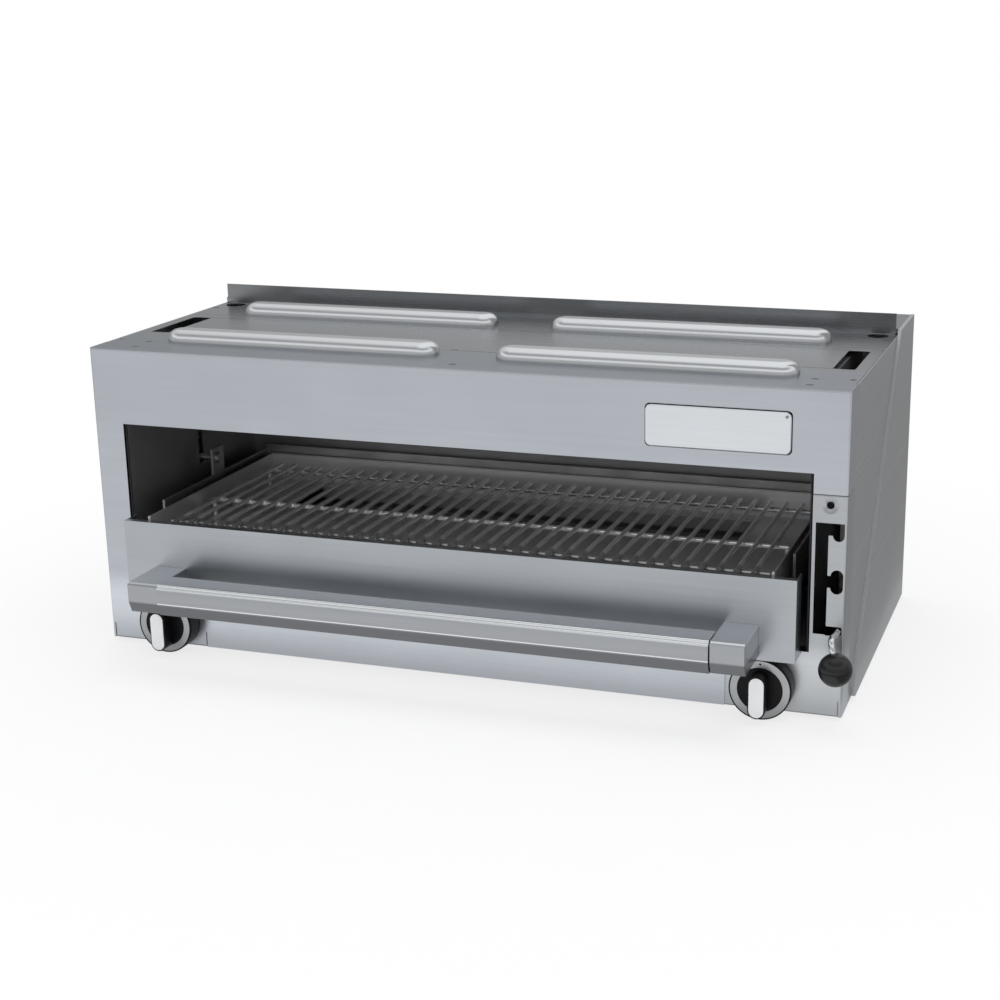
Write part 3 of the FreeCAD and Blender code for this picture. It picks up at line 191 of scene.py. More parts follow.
# Small pits and grains for cast, plated and moulded faces.
PITTED, pi_, po = new_group("pitted", [("Vector", VECTOR, None), ("Size", FLOAT, 400.0)],
                            [("Height", FLOAT), ("Mottle", FLOAT)])
PITTED.links.new(noise(PITTED, pi_["Vector"], pi_["Size"], 4.0, 0.6), po["Height"])
half_size = calc(PITTED, "MULTIPLY", pi_["Size"], 0.06)
PITTED.links.new(noise(PITTED, pi_["Vector"], half_size, 3.0), po["Mottle"])


# Materials

def material(name):
    """Empty material with its Principled shader, object coordinates and output in place."""
    made = bpy.data.materials.new(name)
    tree = cleared(made)
    shader = tree.nodes.new("ShaderNodeBsdfPrincipled")
    output = tree.nodes.new("ShaderNodeOutputMaterial")
    tree.links.new(shader.outputs[0], output.inputs[0])
    return made, tree, shader, put(tree, "TexCoord", out="Object")


def feed(tree, shader, **sockets):
    names = {"colour": "Base Color", "rough": "Roughness", "normal": "Normal",
             "tangent": "Tangent"}
    for key, value in sockets.items():
        tree.links.new(value, shader.inputs[names[key]])


def shaded(tree, at, colour, axis, start, end, tone, x_limit=None):
    """Paint shade or light into a colour: darken or lift it beyond a plane, softly from start
    to end along an axis.
    """
    parts = tree.nodes.new("ShaderNodeSeparateXYZ")
    tree.links.new(at, parts.inputs[0])
    factor = remap(tree, parts.outputs[axis], start, end, 0.0, 1.0, True)
    if x_limit:
        inside = remap(tree, parts.outputs["X"], x_limit - 0.0004, x_limit, 1.0, 0.0)
        factor = calc(tree, "MULTIPLY", factor, inside)
    return blend_colour(tree, factor, colour,
                        blend_colour(tree, 1.0, colour, (tone, tone, tone), "MULTIPLY"))


def brushed(name, light, dark, rough, stretch, across, depth=0.00004, turned=0.45,
            heat=0.0, marks=0.05, shade=(), metal=1.0):
    """Ground sheet steel: streaks in colour, roughness and relief, plus wiped marks and any
    steps of painted shade or light.
    """
    made, tree, shader, at = material(name)
    grain = use(tree, GRAIN, Vector=at, Stretch=stretch)
    hand = use(tree, HANDLED, Vector=at)
    lines = remap(tree, grain["Lines"], 0.28, 0.72, 0.0, 1.0)
    colour = blend_colour(tree, lines, dark, light)
    soft = calc(tree, "MULTIPLY", hand["Marks"], 0.35)
    colour = blend_colour(tree, soft, colour, tuple(0.93 * part for part in light))
    if heat:
        hot = use(tree, HEATED, Vector=at, Amount=heat)
        colour = blend_colour(tree, hot["Mask"], colour, hot["Tint"])
    for step in shade:
        colour = shaded(tree, at, colour, *step)
    roughness = remap(tree, lines, 0.0, 1.0, rough + 0.05, rough - 0.03)
    roughness = calc(tree, "ADD", roughness, calc(tree, "MULTIPLY", hand["Marks"], marks))
    turn = put(tree, "CombineXYZ", {"X": across[0], "Y": across[1], "Z": across[2]})
    feed(tree, shader, colour=colour, rough=roughness, tangent=turn,
         normal=bump(tree, grain["Lines"], depth, 0.5))
    shader.inputs["Metallic"].default_value = metal
    shader.inputs["Anisotropic"].default_value = turned
    return made


def plated(name, light, dark, rough, size=500.0, depth=0.00003, heat=0.0, spread=0.1,
           metal=1.0, shade=()):
    """Cast, plated or drawn metal: mottled colour and roughness, fine pits, and any steps of
    painted shade or light.
    """
    made, tree, shader, at = material(name)
    pits = use(tree, PITTED, Vector=at, Size=size)
    colour = blend_colour(tree, remap(tree, pits["Mottle"], 0.35, 0.65, 0.0, 1.0), dark, light)
    if heat:
        hot = use(tree, HEATED, Vector=at, Amount=heat)
        colour = blend_colour(tree, hot["Mask"], colour, hot["Tint"])
    for step in shade:
        colour = shaded(tree, at, colour, *step)
    roughness = remap(tree, pits["Mottle"], 0.3, 0.7, rough + spread, rough)
    feed(tree, shader, colour=colour, rough=roughness,
         normal=bump(tree, pits["Height"], depth, 0.6))
    shader.inputs["Metallic"].default_value = metal
    return made


def moulded(name, light, dark, rough, coat, shine=0.5):
    """Moulded plastic: faint mottling, fine skin texture and handling marks."""
    made, tree, shader, at = material(name)
    pits = use(tree, PITTED, Vector=at, Size=900.0)
    hand = use(tree, HANDLED, Vector=at)
    colour = blend_colour(tree, pits["Mottle"], dark, light)
    roughness = calc(tree, "ADD", remap(tree, pits["Mottle"], 0.3, 0.7, rough, rough + 0.06),
                     calc(tree, "MULTIPLY", hand["Marks"], 0.06))
    feed(tree, shader, colour=colour, rough=roughness,
         normal=bump(tree, pits["Height"], 0.00002, 0.5))
    shader.inputs["Coat Weight"].default_value = coat
    shader.inputs["Coat Roughness"].default_value = 0.12
    shader.inputs["Specular IOR Level"].default_value = shine
    return made


ALONG_X = (5.0, 800.0, 800.0)
ALONG_Y = (800.0, 5.0, 800.0)
ACROSS_X = (0.0, 1.0, 1.0)
ACROSS_Y = (0.0, 0.0, 1.0)

# Steps of painted shade or light: axis, where it starts, where it ends, tone, and a limit in X
# if any.
# Painted light: the lowest band of the front faces lifted, standing in for the bright floor it
# reflects.
LOW_BAND_PAINTED_LIGHT = ("Z", 0.085, 0.055, 1.40)
# Painted shade: the lower chamfers of the handle bar and brackets darkened.
UNDERSIDE_PAINTED_SHADE = ("Z", 0.0835, 0.0805, 0.45)
# Painted shade: the inside of the gate slots darkened, stopping short of the panel's side
# wrap.
GATE_SLOT_PAINTED_SHADE = ("Y", -0.2076, -0.2072, 0.12, 0.4312)
# Front steel: lower band lifted (painted light), top strip darkened to match the top sheets
# (painted shade).
front_steel = brushed("front_steel", (0.595, 0.62, 0.66), (0.555, 0.58, 0.62), 0.33, ALONG_X,
                      ACROSS_X, depth=0.00002, shade=[LOW_BAND_PAINTED_LIGHT, ("Z", 0.3450, 0.3457, 0.58)])
# Apron: a darker copy of the front steel, painted shade from the handle bar in front of it.
apron_steel_painted_shade = brushed("apron_steel_painted_shade", (0.52, 0.54, 0.565), (0.48, 0.50, 0.525), 0.30, ALONG_X,
                      ACROSS_X, depth=0.00002)
# Bar: underside darkened (painted shade), top face lifted (painted light).
bar_steel = brushed("bar_steel", (0.45, 0.46, 0.48), (0.39, 0.40, 0.42), 0.27, ALONG_X,
                    ACROSS_X, shade=[UNDERSIDE_PAINTED_SHADE, ("Z", 0.0990, 0.0998, 1.85)])
# Brackets: underside darkened (painted shade), top face and upper edge lifted (painted light).
bracket_steel = brushed("bracket_steel", (0.46, 0.47, 0.49), (0.40, 0.41, 0.43), 0.27, ALONG_X,
                        ACROSS_X, shade=[UNDERSIDE_PAINTED_SHADE, ("Z", 0.1024, 0.1031, 1.85)])
# Near-white, smoother copy of the bar steel for the bead faces: painted highlight lines.
bead_highlight_steel = brushed("bead_highlight_steel", (0.92, 0.93, 0.94), (0.84, 0.85, 0.86), 0.13, ALONG_X,
                     ACROSS_X, depth=0.00001, turned=0.2)
# Top sheets and riser: a darker copy of the front steel (painted shade); above z 0.3485, the
# riser, darker still (painted shade).
top_steel_painted_shade = brushed("top_steel_painted_shade", (0.38, 0.39, 0.40), (0.32, 0.33, 0.34), 0.24, ALONG_X,
                    ACROSS_X, turned=0.25, shade=[("Z", 0.3485, 0.352, 0.72)])
# Pan rests: a much lighter copy of the top steel, painted light on their rounded crowns.
rest_steel_painted_light = brushed("rest_steel_painted_light", (0.76, 0.77, 0.78), (0.70, 0.71, 0.72), 0.20, ALONG_X,
                     ACROSS_X, turned=0.15, depth=0.00002)
side_steel = brushed("side_steel", (0.60, 0.61, 0.62), (0.52, 0.53, 0.54), 0.36, ALONG_Y,
                     ACROSS_Y)
# Gate panel: inside of the gate slots darkened (painted shade), lower band lifted (painted
# light).
panel_steel = brushed("panel_steel", (0.55, 0.565, 0.58), (0.51, 0.525, 0.54), 0.34, ALONG_X,
                      ACROSS_X, depth=0.00002, shade=[GATE_SLOT_PAINTED_SHADE, LOW_BAND_PAINTED_LIGHT])
plate_steel = brushed("plate_steel", (0.86, 0.88, 0.90), (0.80, 0.82, 0.85), 0.30, ALONG_X,
                      ACROSS_X, depth=0.00002)
# Liner: the heat clouding is its own; its forward edges darkened beyond y -0.205 are painted
# shade.
liner_steel = brushed("liner_steel", (0.37, 0.37, 0.38), (0.30, 0.30, 0.31), 0.40, ALONG_X,
                      ACROSS_X, heat=0.35, marks=0.1, metal=0.85,
                      shade=[("Y", -0.2050, -0.2066, 0.10)])
casing_steel = plated("casing_steel", (0.52, 0.53, 0.54), (0.42, 0.43, 0.44), 0.38, 120.0)
# Rack pan: inner face of the rear wall lifted, painted light.
rack_steel = brushed("rack_steel", (0.66, 0.66, 0.67), (0.57, 0.57, 0.58), 0.32, ALONG_X,
                     ACROSS_X, heat=0.10, metal=0.8,
                     shade=[("Y", 0.0765, 0.0772, 1.45)])
carriage_steel = plated("carriage_steel", (0.55, 0.55, 0.55), (0.45, 0.45, 0.44), 0.34)
chrome = plated("chrome", (0.78, 0.79, 0.80), (0.70, 0.71, 0.72), 0.12, 260.0, 0.00001,
                spread=0.06)
# Grid rods: front ends and cross rod near the apron darkened, painted shade.
bar_chrome = plated("bar_chrome", (0.92, 0.92, 0.93), (0.82, 0.82, 0.83), 0.08, 260.0,
                    0.00001, heat=0.06, spread=0.05, metal=0.78,
                    shade=[("Y", -0.190, -0.197, 0.50)])
iron = plated("black_iron", (0.10, 0.10, 0.10), (0.05, 0.05, 0.052), 0.46, 380.0, 0.00008)
brass = plated("brass", (0.74, 0.56, 0.27), (0.62, 0.45, 0.20), 0.28, 300.0)
cast_burner = plated("cast_burner", (0.34, 0.33, 0.32), (0.22, 0.21, 0.20), 0.5, 420.0,
                     0.0001, heat=0.5)
tube_metal = plated("tube_metal", (0.72, 0.72, 0.73), (0.62, 0.62, 0.63), 0.3, 350.0)
screen_metal = plated("screen_metal", (0.40, 0.36, 0.32), (0.26, 0.23, 0.21), 0.44, 600.0,
                      heat=0.6)
screw_steel = plated("screw_steel", (0.36, 0.36, 0.37), (0.26, 0.26, 0.27), 0.3, 700.0)
ring_metal = plated("ring_metal", (0.52, 0.53, 0.54), (0.46, 0.47, 0.48), 0.28, 600.0)
knob_black = moulded("knob_black", (0.009, 0.009, 0.010), (0.005, 0.005, 0.006), 0.30, 0.0,
                     shine=0.18)
rim_black = moulded("rim_black", (0.008, 0.008, 0.009), (0.004, 0.004, 0.005), 0.45, 0.0,
                    shine=0.15)
ball_black = moulded("ball_black", (0.012, 0.012, 0.013), (0.007, 0.007, 0.007), 0.20, 0.15,
                     shine=0.35)
pointer_white = moulded("pointer_white", (0.95, 0.95, 0.96), (0.90, 0.90, 0.91), 0.34, 0.2)


def ceramic_material():
    """Burner tile: pale clay with rows of small flame holes and scorched patches."""
    made, tree, shader, at = material("burner_ceramic")
    cells = put(tree, "TexVoronoi", {"Vector": at, "Scale": 260.0, "Randomness": 0.0},
                voronoi_dimensions="3D", feature="F1")
    holes = remap(tree, cells, 0.22, 0.3, 0.0, 1.0, True)
    hot = use(tree, HEATED, Vector=at, Amount=0.5)
    pits = use(tree, PITTED, Vector=at, Size=500.0)
    clay = blend_colour(tree, pits["Mottle"], (0.60, 0.50, 0.38), (0.74, 0.66, 0.54))
    clay = blend_colour(tree, hot["Mask"], clay, hot["Tint"])
    relief = calc(tree, "ADD", holes, calc(tree, "MULTIPLY", pits["Height"], 0.2))
    # Flame holes drawn as near-black spots: painted shade inside the holes, with a bump for
    # their relief.
    feed(tree, shader, colour=blend_colour(tree, holes, (0.05, 0.035, 0.03), clay),
         rough=remap(tree, pits["Height"], 0.3, 0.7, 0.75, 0.92),
         normal=bump(tree, relief, 0.0008, 0.8))
    return made


ceramic = ceramic_material()

FINISHES = {
    front_steel: ["front_fascia"],
    apron_steel_painted_shade: ["rack_apron"],
    bar_steel: ["handle_bar"],
    bracket_steel: ["handle_brackets"],
    panel_steel: ["control_panel"],
    side_steel: ["side_panel_left", "side_panel_right", "side_bracket"],
    top_steel_painted_shade: ["top_middle", "top_rear", "flue_collar"],
    rest_steel_painted_light: ["pan_rests"],
    plate_steel: ["nameplate"],
    liner_steel: ["liner_left", "liner_right", "liner_back", "chamber_floor", "heat_shield",
                  "drip_pan", "burner_rails"],
    casing_steel: ["bottom_pan", "back_panel", "guide_brackets"],
    rack_steel: ["rack_pan"],
    carriage_steel: ["slide_blocks", "lift_studs", "carriage_rail_left",
                     "carriage_rail_right", "carriage_rear_bar", "lever_carrier"],
    bar_chrome: ["rack_grid", "grid_feet"],
    chrome: ["lever_arm", "lever_shank", "guide_rods", "lever_pin", "handle_rod"],
    iron: ["gas_manifold", "gas_inlet"],
    brass: ["gas_valves", "orifices", "valve_stem_left", "valve_stem_right"],
    cast_burner: ["burners", "pilot_burner"],
    tube_metal: ["supply_tubes", "venturi_tubes"],
    screen_metal: ["burner_screens"],
    screw_steel: ["panel_screws", "plate_rivet"],
    ring_metal: ["knob_ring_left", "knob_ring_right"],
    knob_black: ["knob_left", "knob_right"],
    ball_black: ["lever_ball"],
    pointer_white: ["knob_insert_left", "knob_insert_right"],
    ceramic: ["burner_tiles"],
}
for finish, names in FINISHES.items():
    for name in names:
        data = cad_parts[name].data
        data.materials.clear()
        data.materials.append(finish)


# Edges of the carried-over pieces: welded, rounded a little and shaded smooth

SMOOTH_BELOW = math.radians(31)
ROUND_ABOVE = math.radians(40)
WELD_GAP = 0.00001


def shade_by_angle():
    """Modifier tree that joins equal points and shades smooth up to an edge angle."""
    tree = bpy.data.node_groups.new("soft_shading", "GeometryNodeTree")
    tree.interface.new_socket("Geometry", in_out="INPUT", socket_type="NodeSocketGeometry")
    tree.interface.new_socket("Geometry", in_out="OUTPUT", socket_type="NodeSocketGeometry")
    add = tree.nodes.new
    entry, leave = add("NodeGroupInput"), add("NodeGroupOutput")
    angle = add("GeometryNodeInputMeshEdgeAngle")
    sharp = add("FunctionNodeCompare")
    sharp.data_type = "FLOAT"
    sharp.operation = "LESS_THAN"
    sharp.inputs[1].default_value = SMOOTH_BELOW
    edges = add("GeometryNodeSetShadeSmooth")
    edges.domain = "EDGE"
    faces = add("GeometryNodeSetShadeSmooth")
    faces.domain = "FACE"
    links = tree.links
    links.new(entry.outputs[0], faces.inputs["Geometry"])
    links.new(faces.outputs[0], edges.inputs["Geometry"])
    links.new(angle.outputs["Unsigned Angle"], sharp.inputs[0])
    links.new(sharp.outputs[0], edges.inputs["Shade Smooth"])
    links.new(edges.outputs[0], leave.inputs[0])
    return tree


SOFT_SHADING = shade_by_angle()


def crisp(obj, width):
    """Weld and shade a piece, and round its sharp edges by a width in millimetres."""
    weld = obj.modifiers.new("joined", "WELD")
    weld.merge_threshold = WELD_GAP
    if width:
        edge = obj.modifiers.new("edge", "BEVEL")
        edge.width = width * MM
        edge.segments = 3
        edge.limit_method = "ANGLE"
        edge.angle_limit = ROUND_ABOVE
        edge.use_clamp_overlap = True
        edge.miter_outer = "MITER_ARC"
    shade = obj.modifiers.new("shading", "NODES")
    shade.node_group = SOFT_SHADING
    if width:
        even = obj.modifiers.new("even", "WEIGHTED_NORMAL")
        even.keep_sharp = True
        even.weight = 80


EDGES = {
    0.5: ["front_fascia", "control_panel", "side_panel_left", "side_panel_right", "top_middle",
          "top_rear", "flue_collar", "rack_apron", "rack_pan", "drip_pan",
          "carriage_rail_left", "carriage_rail_right", "carriage_rear_bar", "lever_carrier"],
    0.6: ["handle_bar", "slide_blocks"],
    1.1: ["handle_brackets"],
    0.3: ["side_bracket"],
    0.4: ["nameplate", "knob_left", "knob_right", "knob_insert_left", "knob_insert_right",
          "knob_ring_left", "knob_ring_right"],
}
for width, names in EDGES.items():
    for name in names:
        crisp(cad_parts[name], width)


# New pieces

def mesh_piece(name, build, body, finish, smooth=True):
    """Mesh made by a function that fills a bmesh; rides on a body with a finish."""
    data = bpy.data.meshes.new(name)
    shape = bmesh.new()
    build(shape)
    bmesh.ops.remove_doubles(shape, verts=shape.verts, dist=1e-7)
    bmesh.ops.recalc_face_normals(shape, faces=shape.faces)
    for face in shape.faces:
        face.smooth = smooth
    shape.to_mesh(data)
    shape.free()
    data.materials.append(finish)
    obj = bpy.data.objects.new(name, data)
    scene.collection.objects.link(obj)
    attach(obj, body)
    return obj


def angles(count):
    return [2 * math.pi * k / count for k in range(count)]


def filleted(points, radius, steps=8):
    """Path with its corners rounded by an arc-like curve."""
    path = [Vector(points[0])]
    for before, corner, after in zip(points, points[1:], points[2:]):
        corner = Vector(corner)
        back = Vector(before) - corner
        ahead = Vector(after) - corner
        reach = min(radius, 0.49 * back.length, 0.49 * ahead.length)
        start = corner + back.normalized() * reach
        end = corner + ahead.normalized() * reach
        for step in range(steps + 1):
            t = step / steps
            path.append(start * (1 - t) ** 2 + corner * (2 * t * (1 - t)) + end * t ** 2)
    path.append(Vector(points[-1]))
    return path


ROD_SIDES = 24


def sweep(shape, path, radius):
    """Closed round rod along a path, with flat ends."""
    rings = []
    up = Vector((0, 0, 1))
    for index, point in enumerate(path):
        before = path[max(index - 1, 0)]
        after = path[min(index + 1, len(path) - 1)]
        ahead = (after - before).normalized()
        side = ahead.cross(up)
        if side.length < 1e-3:
            side = ahead.cross(Vector((1, 0, 0)))
        side.normalize()
        up = side.cross(ahead).normalized()
        rings.append([shape.verts.new(point + radius * (math.cos(a) * side + math.sin(a) * up))
                      for a in angles(ROD_SIDES)])
    for low, high in zip(rings, rings[1:]):
        for k in range(ROD_SIDES):
            turn = (k + 1) % ROD_SIDES
            shape.faces.new((low[k], low[turn], high[turn], high[k]))
    shape.faces.new(rings[0])
    shape.faces.new(rings[-1])


shank_low, shank_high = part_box("lever_shank")
rod_x = (shank_low.x + shank_high.x) / 2
rod_z = (shank_low.z + shank_high.z) / 2
ball_low, ball_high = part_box("lever_ball")
ball = (ball_low + ball_high) / 2
ROD_RADIUS = 3.25 * MM
ROD_BEND = 0.009
BEND_FRONT = -0.222   # where the rod starts to turn towards the ball
BEND_END = -0.240


def lever_rod(shape):
    """Springy rod from the gate to the ball, bent twice."""
    path = filleted([(rod_x, shank_low.y, rod_z), (rod_x, BEND_FRONT, rod_z),
                     (rod_x - 0.0024, BEND_END, rod_z + 0.001),
                     (ball.x - 0.0006, ball.y, ball.z + 0.009)], ROD_BEND, 10)
    sweep(shape, path, ROD_RADIUS)


rod = mesh_piece("lever_rod", lever_rod, "lever", chrome)
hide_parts("lever_handle")


def islands(name):
    """Lowest and highest corners of the separate solids of a carried-over piece."""
    shape = bmesh.new()
    shape.from_mesh(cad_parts[name].data)
    bmesh.ops.remove_doubles(shape, verts=shape.verts, dist=1e-5)
    left = set(shape.verts)
    boxes = []
    while left:
        front = [left.pop()]
        found = list(front)
        while front:
            vert = front.pop()
            for edge in vert.link_edges:
                other = edge.other_vert(vert)
                if other in left:
                    left.remove(other)
                    front.append(other)
                    found.append(other)
        boxes.append(tuple(Vector(pick(v.co[i] for v in found) for i in range(3))
                           for pick in (min, max)))
    shape.free()
    return sorted(boxes, key=lambda corners: tuple(corners[0]))   # same order in every run


def stack_rings(shape, rings, closed=True):
    """Join rings of points into a skin; closed adds a flat face at both ends."""
    rows = [[shape.verts.new(point) for point in ring] for ring in rings]
    count = len(rows[0])
    for low, high in zip(rows, rows[1:]):
        for k in range(count):
            shape.faces.new((low[k], low[(k + 1) % count], high[(k + 1) % count], high[k]))
    if closed:
        shape.faces.new(rows[0])
        shape.faces.new(rows[-1])


def recess_outline(arm, half):
    """Angles and radii that draw a cross with four arms."""
    corner = math.atan2(half, arm)
    quarter = math.pi / 4
    outline = []
    for turn in range(4):
        for angle in (-(corner + quarter) / 2, -corner, -corner / 2, 0.0, corner / 2, corner,
                      (corner + quarter) / 2, quarter):
            along, beside = math.cos(angle), abs(math.sin(angle))
            reach = arm / along if math.tan(abs(angle)) <= half / arm + 1e-6 else half / beside
            outline.append((angle + turn * math.pi / 2, reach))
    return outline


RECESS_ARM, RECESS_HALF = 0.62, 0.17   # of the head's radius


def screw(shape, low, high):
    """Domed screw with a cross recess, facing up or to the back by the box it fills."""
    size = high - low
    facing_back = abs(size.x - size.z) < abs(size.x - size.y)
    centre = (low + high) / 2
    radius = size.x / 2
    outline = recess_outline(RECESS_ARM * radius, RECESS_HALF * radius)
    deep = size.y if facing_back else size.z

    def ring(depth, spread, recess=False):
        points = []
        for angle, reach in outline:
            r = reach * spread if recess else spread * radius
            u, v = r * math.cos(angle + 0.5), r * math.sin(angle + 0.5)
            if facing_back:
                points.append(Vector((centre.x - u, high.y - depth, centre.z + v)))
            else:
                points.append(Vector((centre.x + u, centre.y + v, high.z - depth)))
        return points

    dome = 0.18 * radius
    stack_rings(shape, [ring(deep, 0.45), ring(2.2 * dome + 0.0004, 0.45),
                        ring(2.2 * dome + 0.0004, 1.0), ring(2.2 * dome, 1.0),
                        ring(1.0 * dome, 0.93), ring(0.25 * dome, 0.80),
                        ring(0.0, 1.06, True), ring(0.5 * dome, 1.0, True),
                        ring(3.2 * dome, 0.55, True)])


def screw_heads(shape):
    for low, high in islands("panel_screws"):
        screw(shape, low, high)


heads = mesh_piece("screw_heads", screw_heads, "frame", screw_steel, False)
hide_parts("panel_screws")


def lathe(shape, centre, profile, around=72):
    """Turned ring about an axis along Y; the profile is a closed loop of (radius, y)."""
    rows = []
    for radius, y in profile + profile[:1]:
        rows.append([Vector((centre.x + radius * math.cos(a), y,
                             centre.z + radius * math.sin(a))) for a in angles(around)])
    stack_rings(shape, rows, closed=False)


DOT_SIDES = 20
DOT_DROP = 0.0042   # from the ring's outer edge

for hand in ("left", "right"):
    ring_low, ring_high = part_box("knob_ring_" + hand)
    hub = (ring_low + ring_high) / 2
    outer = (ring_high.x - ring_low.x) / 2
    knob_body = "knob_" + hand

    def rim(shape):
        face = ring_low.y
        lathe(shape, hub, [(outer - 0.0007, face - 0.0003), (outer + 0.0004, face - 0.0003),
                           (outer + 0.0008, face + 0.0002), (outer + 0.0008, face + 0.0022),
                           (outer - 0.0007, face + 0.0022)])

    def dot(shape):
        at = Vector((hub.x, 0.0, hub.z + outer - DOT_DROP))
        rows = []
        for radius, y in ((1.1, 0.2), (1.1, -0.12), (0.8, -0.3)):
            rows.append([Vector((at.x + radius * MM * math.cos(a), ring_low.y + y * MM,
                                 at.z + radius * MM * math.sin(a)))
                         for a in angles(DOT_SIDES)])
        stack_rings(shape, rows)

    for label, build in (("ring_rim_", rim), ("ring_dot_", dot)):
        crisp(mesh_piece(label + hand, build, knob_body, rim_black, False), 0)

bar_low, bar_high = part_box("handle_bar")
# Bead bands given a smoother, near-white steel as painted highlight lines, in millimetres
# behind the bar's front and below its top.
BEAD_DEPTH = 5.0
UPPER_BEAD = (0.05, 4.6)
LOWER_RIDGE = (21.2, 22.6)


def bar_profile(shape):
    """Handle bar with a rolled double bead along its upper edge and a fine ridge below."""
    outline = [(31.8, 0.0), (5.4, 0.0), (4.2, 0.15), (3.2, 0.7), (2.6, 1.5), (2.45, 2.2),
               (2.55, 2.8), (2.1, 3.3), (1.2, 3.5), (0.5, 4.0), (0.12, 4.8), (0.0, 5.6),
               (0.0, 21.2), (0.25, 21.7), (0.2, 22.4), (0.3, 23.2), (4.7, 35.2), (5.3, 36.2),
               (6.4, 36.5), (12.0, 36.5), (31.8, 33.0)]
    rows = [[Vector((x, bar_low.y + f * MM, bar_high.z - d * MM)) for f, d in outline]
            for x in (bar_low.x, bar_high.x)]
    stack_rings(shape, rows)


bar = mesh_piece("bar_profile", bar_profile, "rack", bar_steel, False)
# The bead faces take the near-white steel, a painted highlight.
bar.data.materials.append(bead_highlight_steel)
for face in bar.data.polygons:
    ahead = (face.center.y - bar_low.y) / MM   # from the front face backwards
    down = (bar_high.z - face.center.z) / MM
    if ahead < BEAD_DEPTH and any(a < down < b for a, b in (UPPER_BEAD, LOWER_RIDGE)):
        face.material_index = 1
crisp(bar, 0)
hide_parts("handle_bar")

panel_low, panel_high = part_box("control_panel")
PORT_INSET, PORT_DROP = 18.3 * MM, 11.1 * MM
PORT = Vector((panel_high.x - PORT_INSET, panel_low.y, panel_high.z - PORT_DROP))


def port_dish(shape):
    """Satin sunk seat round the small port at the top of the gate panel."""
    lathe(shape, PORT, [(9.1 * MM, PORT.y - 0.02 * MM), (9.0 * MM, PORT.y - 0.01 * MM),
                        (4.3 * MM, PORT.y + 1.22 * MM), (4.2 * MM, PORT.y + 1.29 * MM),
                        (9.15 * MM, PORT.y - 0.005 * MM)], 48)


mesh_piece("port_dish", port_dish, "frame", ring_metal)
plate_low, plate_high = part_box("nameplate")


def plate_edge_shade(shape):
    """Thin dark sheet behind the nameplate, showing as a dark outline: painted shade along the
    plate's edges.
    """
    grow, corner = 0.0008, 0.0052
    low = plate_low - Vector((grow, 0, grow))
    high = plate_high + Vector((grow, 0, grow))
    rows = []
    for y in (plate_high.y - 0.0006, plate_high.y - 0.0001):
        row = []
        for cx, cz, first in ((high.x - corner, high.z - corner, 0),
                              (low.x + corner, high.z - corner, 1),
                              (low.x + corner, low.z + corner, 2),
                              (high.x - corner, low.z + corner, 3)):
            for step in range(9):
                angle = (first + step / 8) * math.pi / 2
                row.append(Vector((cx + corner * math.cos(angle), y,
                                   cz + corner * math.sin(angle))))
        rows.append(row)
    stack_rings(shape, rows)


mesh_piece("plate_edge_shade", plate_edge_shade, "frame", rim_black, False)

inlet_low, inlet_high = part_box("gas_inlet")
BORE = 12.3 * MM


def inlet_thread(shape):
    """Tapped thread in the mouth of the gas inlet."""
    centre = (inlet_low + inlet_high) / 2
    around, turns, pitch = 48, 5, 1.8 * MM
    start = inlet_high.y - 1.2 * MM
    steps = turns * 8
    rows = []
    for step in range(steps + 1):
        row = []
        for k in range(around):
            angle = 2 * math.pi * k / around
            wave = abs(((step / 8 + k / around) % 1.0) * 2 - 1)
            radius = BORE - (0.25 + 0.75 * wave) * MM
            row.append(Vector((centre.x + radius * math.cos(angle), start - step / 8 * pitch,
                               centre.z + radius * math.sin(angle))))
        rows.append(row)
    for y in (start - turns * pitch, start):
        rows.append([Vector((centre.x + (BORE - 0.05 * MM) * math.cos(a), y,
                             centre.z + (BORE - 0.05 * MM) * math.sin(a)))
                     for a in angles(around)])
    stack_rings(shape, rows + rows[:1], closed=False)


mesh_piece("inlet_thread", inlet_thread, "frame", iron)

# Ground, light and camera

FLOOR_Z = min(cad_box[0][2], 0.0) - 0.0003


def floor_material():
    """Pale floor: seen straight it fades to white away from the piece; mirror rays mostly see
    a glow, dimmed under the piece as painted shade.
    """
    made = bpy.data.materials.new("floor_paper")
    tree = cleared(made)
    at = put(tree, "TexCoord", out="Object")
    fleck = noise(tree, at, 30.0, 3.0)
    tone = remap(tree, fleck, 0.3, 0.7, 0.80, 0.82)
    grey = put(tree, "CombineColor", {0: tone, 1: tone, 2: tone})
    paper = put(tree, "BsdfDiffuse", {"Color": grey})
    white = put(tree, "Emission", {"Color": (1.0, 1.0, 1.0, 1.0), "Strength": 1.0})
    far = put(tree, "VectorMath", {0: at}, out="Value", operation="LENGTH")
    fade = remap(tree, far, 0.50, 1.0, 0.76, 1.0, True)
    seen = put(tree, "LightPath", out="Is Camera Ray")
    parts = tree.nodes.new("ShaderNodeSeparateXYZ")
    tree.links.new(at, parts.inputs[0])
    # Painted shade for reflections: the mirrored glow dims under and just in front of the
    # piece.
    mirror_shade_near_piece = remap(tree, parts.outputs["Y"], -0.30, -0.25, 0.89, 0.45, True)
    even = put(tree, "Emission", {"Color": (0.98, 0.99, 1.0, 1.0), "Strength": mirror_shade_near_piece})
    mirrored = calc(tree, "MULTIPLY", put(tree, "LightPath", out="Is Glossy Ray"), 0.8)
    lit = put(tree, "MixShader", {0: mirrored, 1: paper, 2: even})
    mix = put(tree, "MixShader", {0: calc(tree, "MULTIPLY", fade, seen), 1: lit, 2: white})
    output = tree.nodes.new("ShaderNodeOutputMaterial")
    tree.links.new(mix, output.inputs[0])
    return made


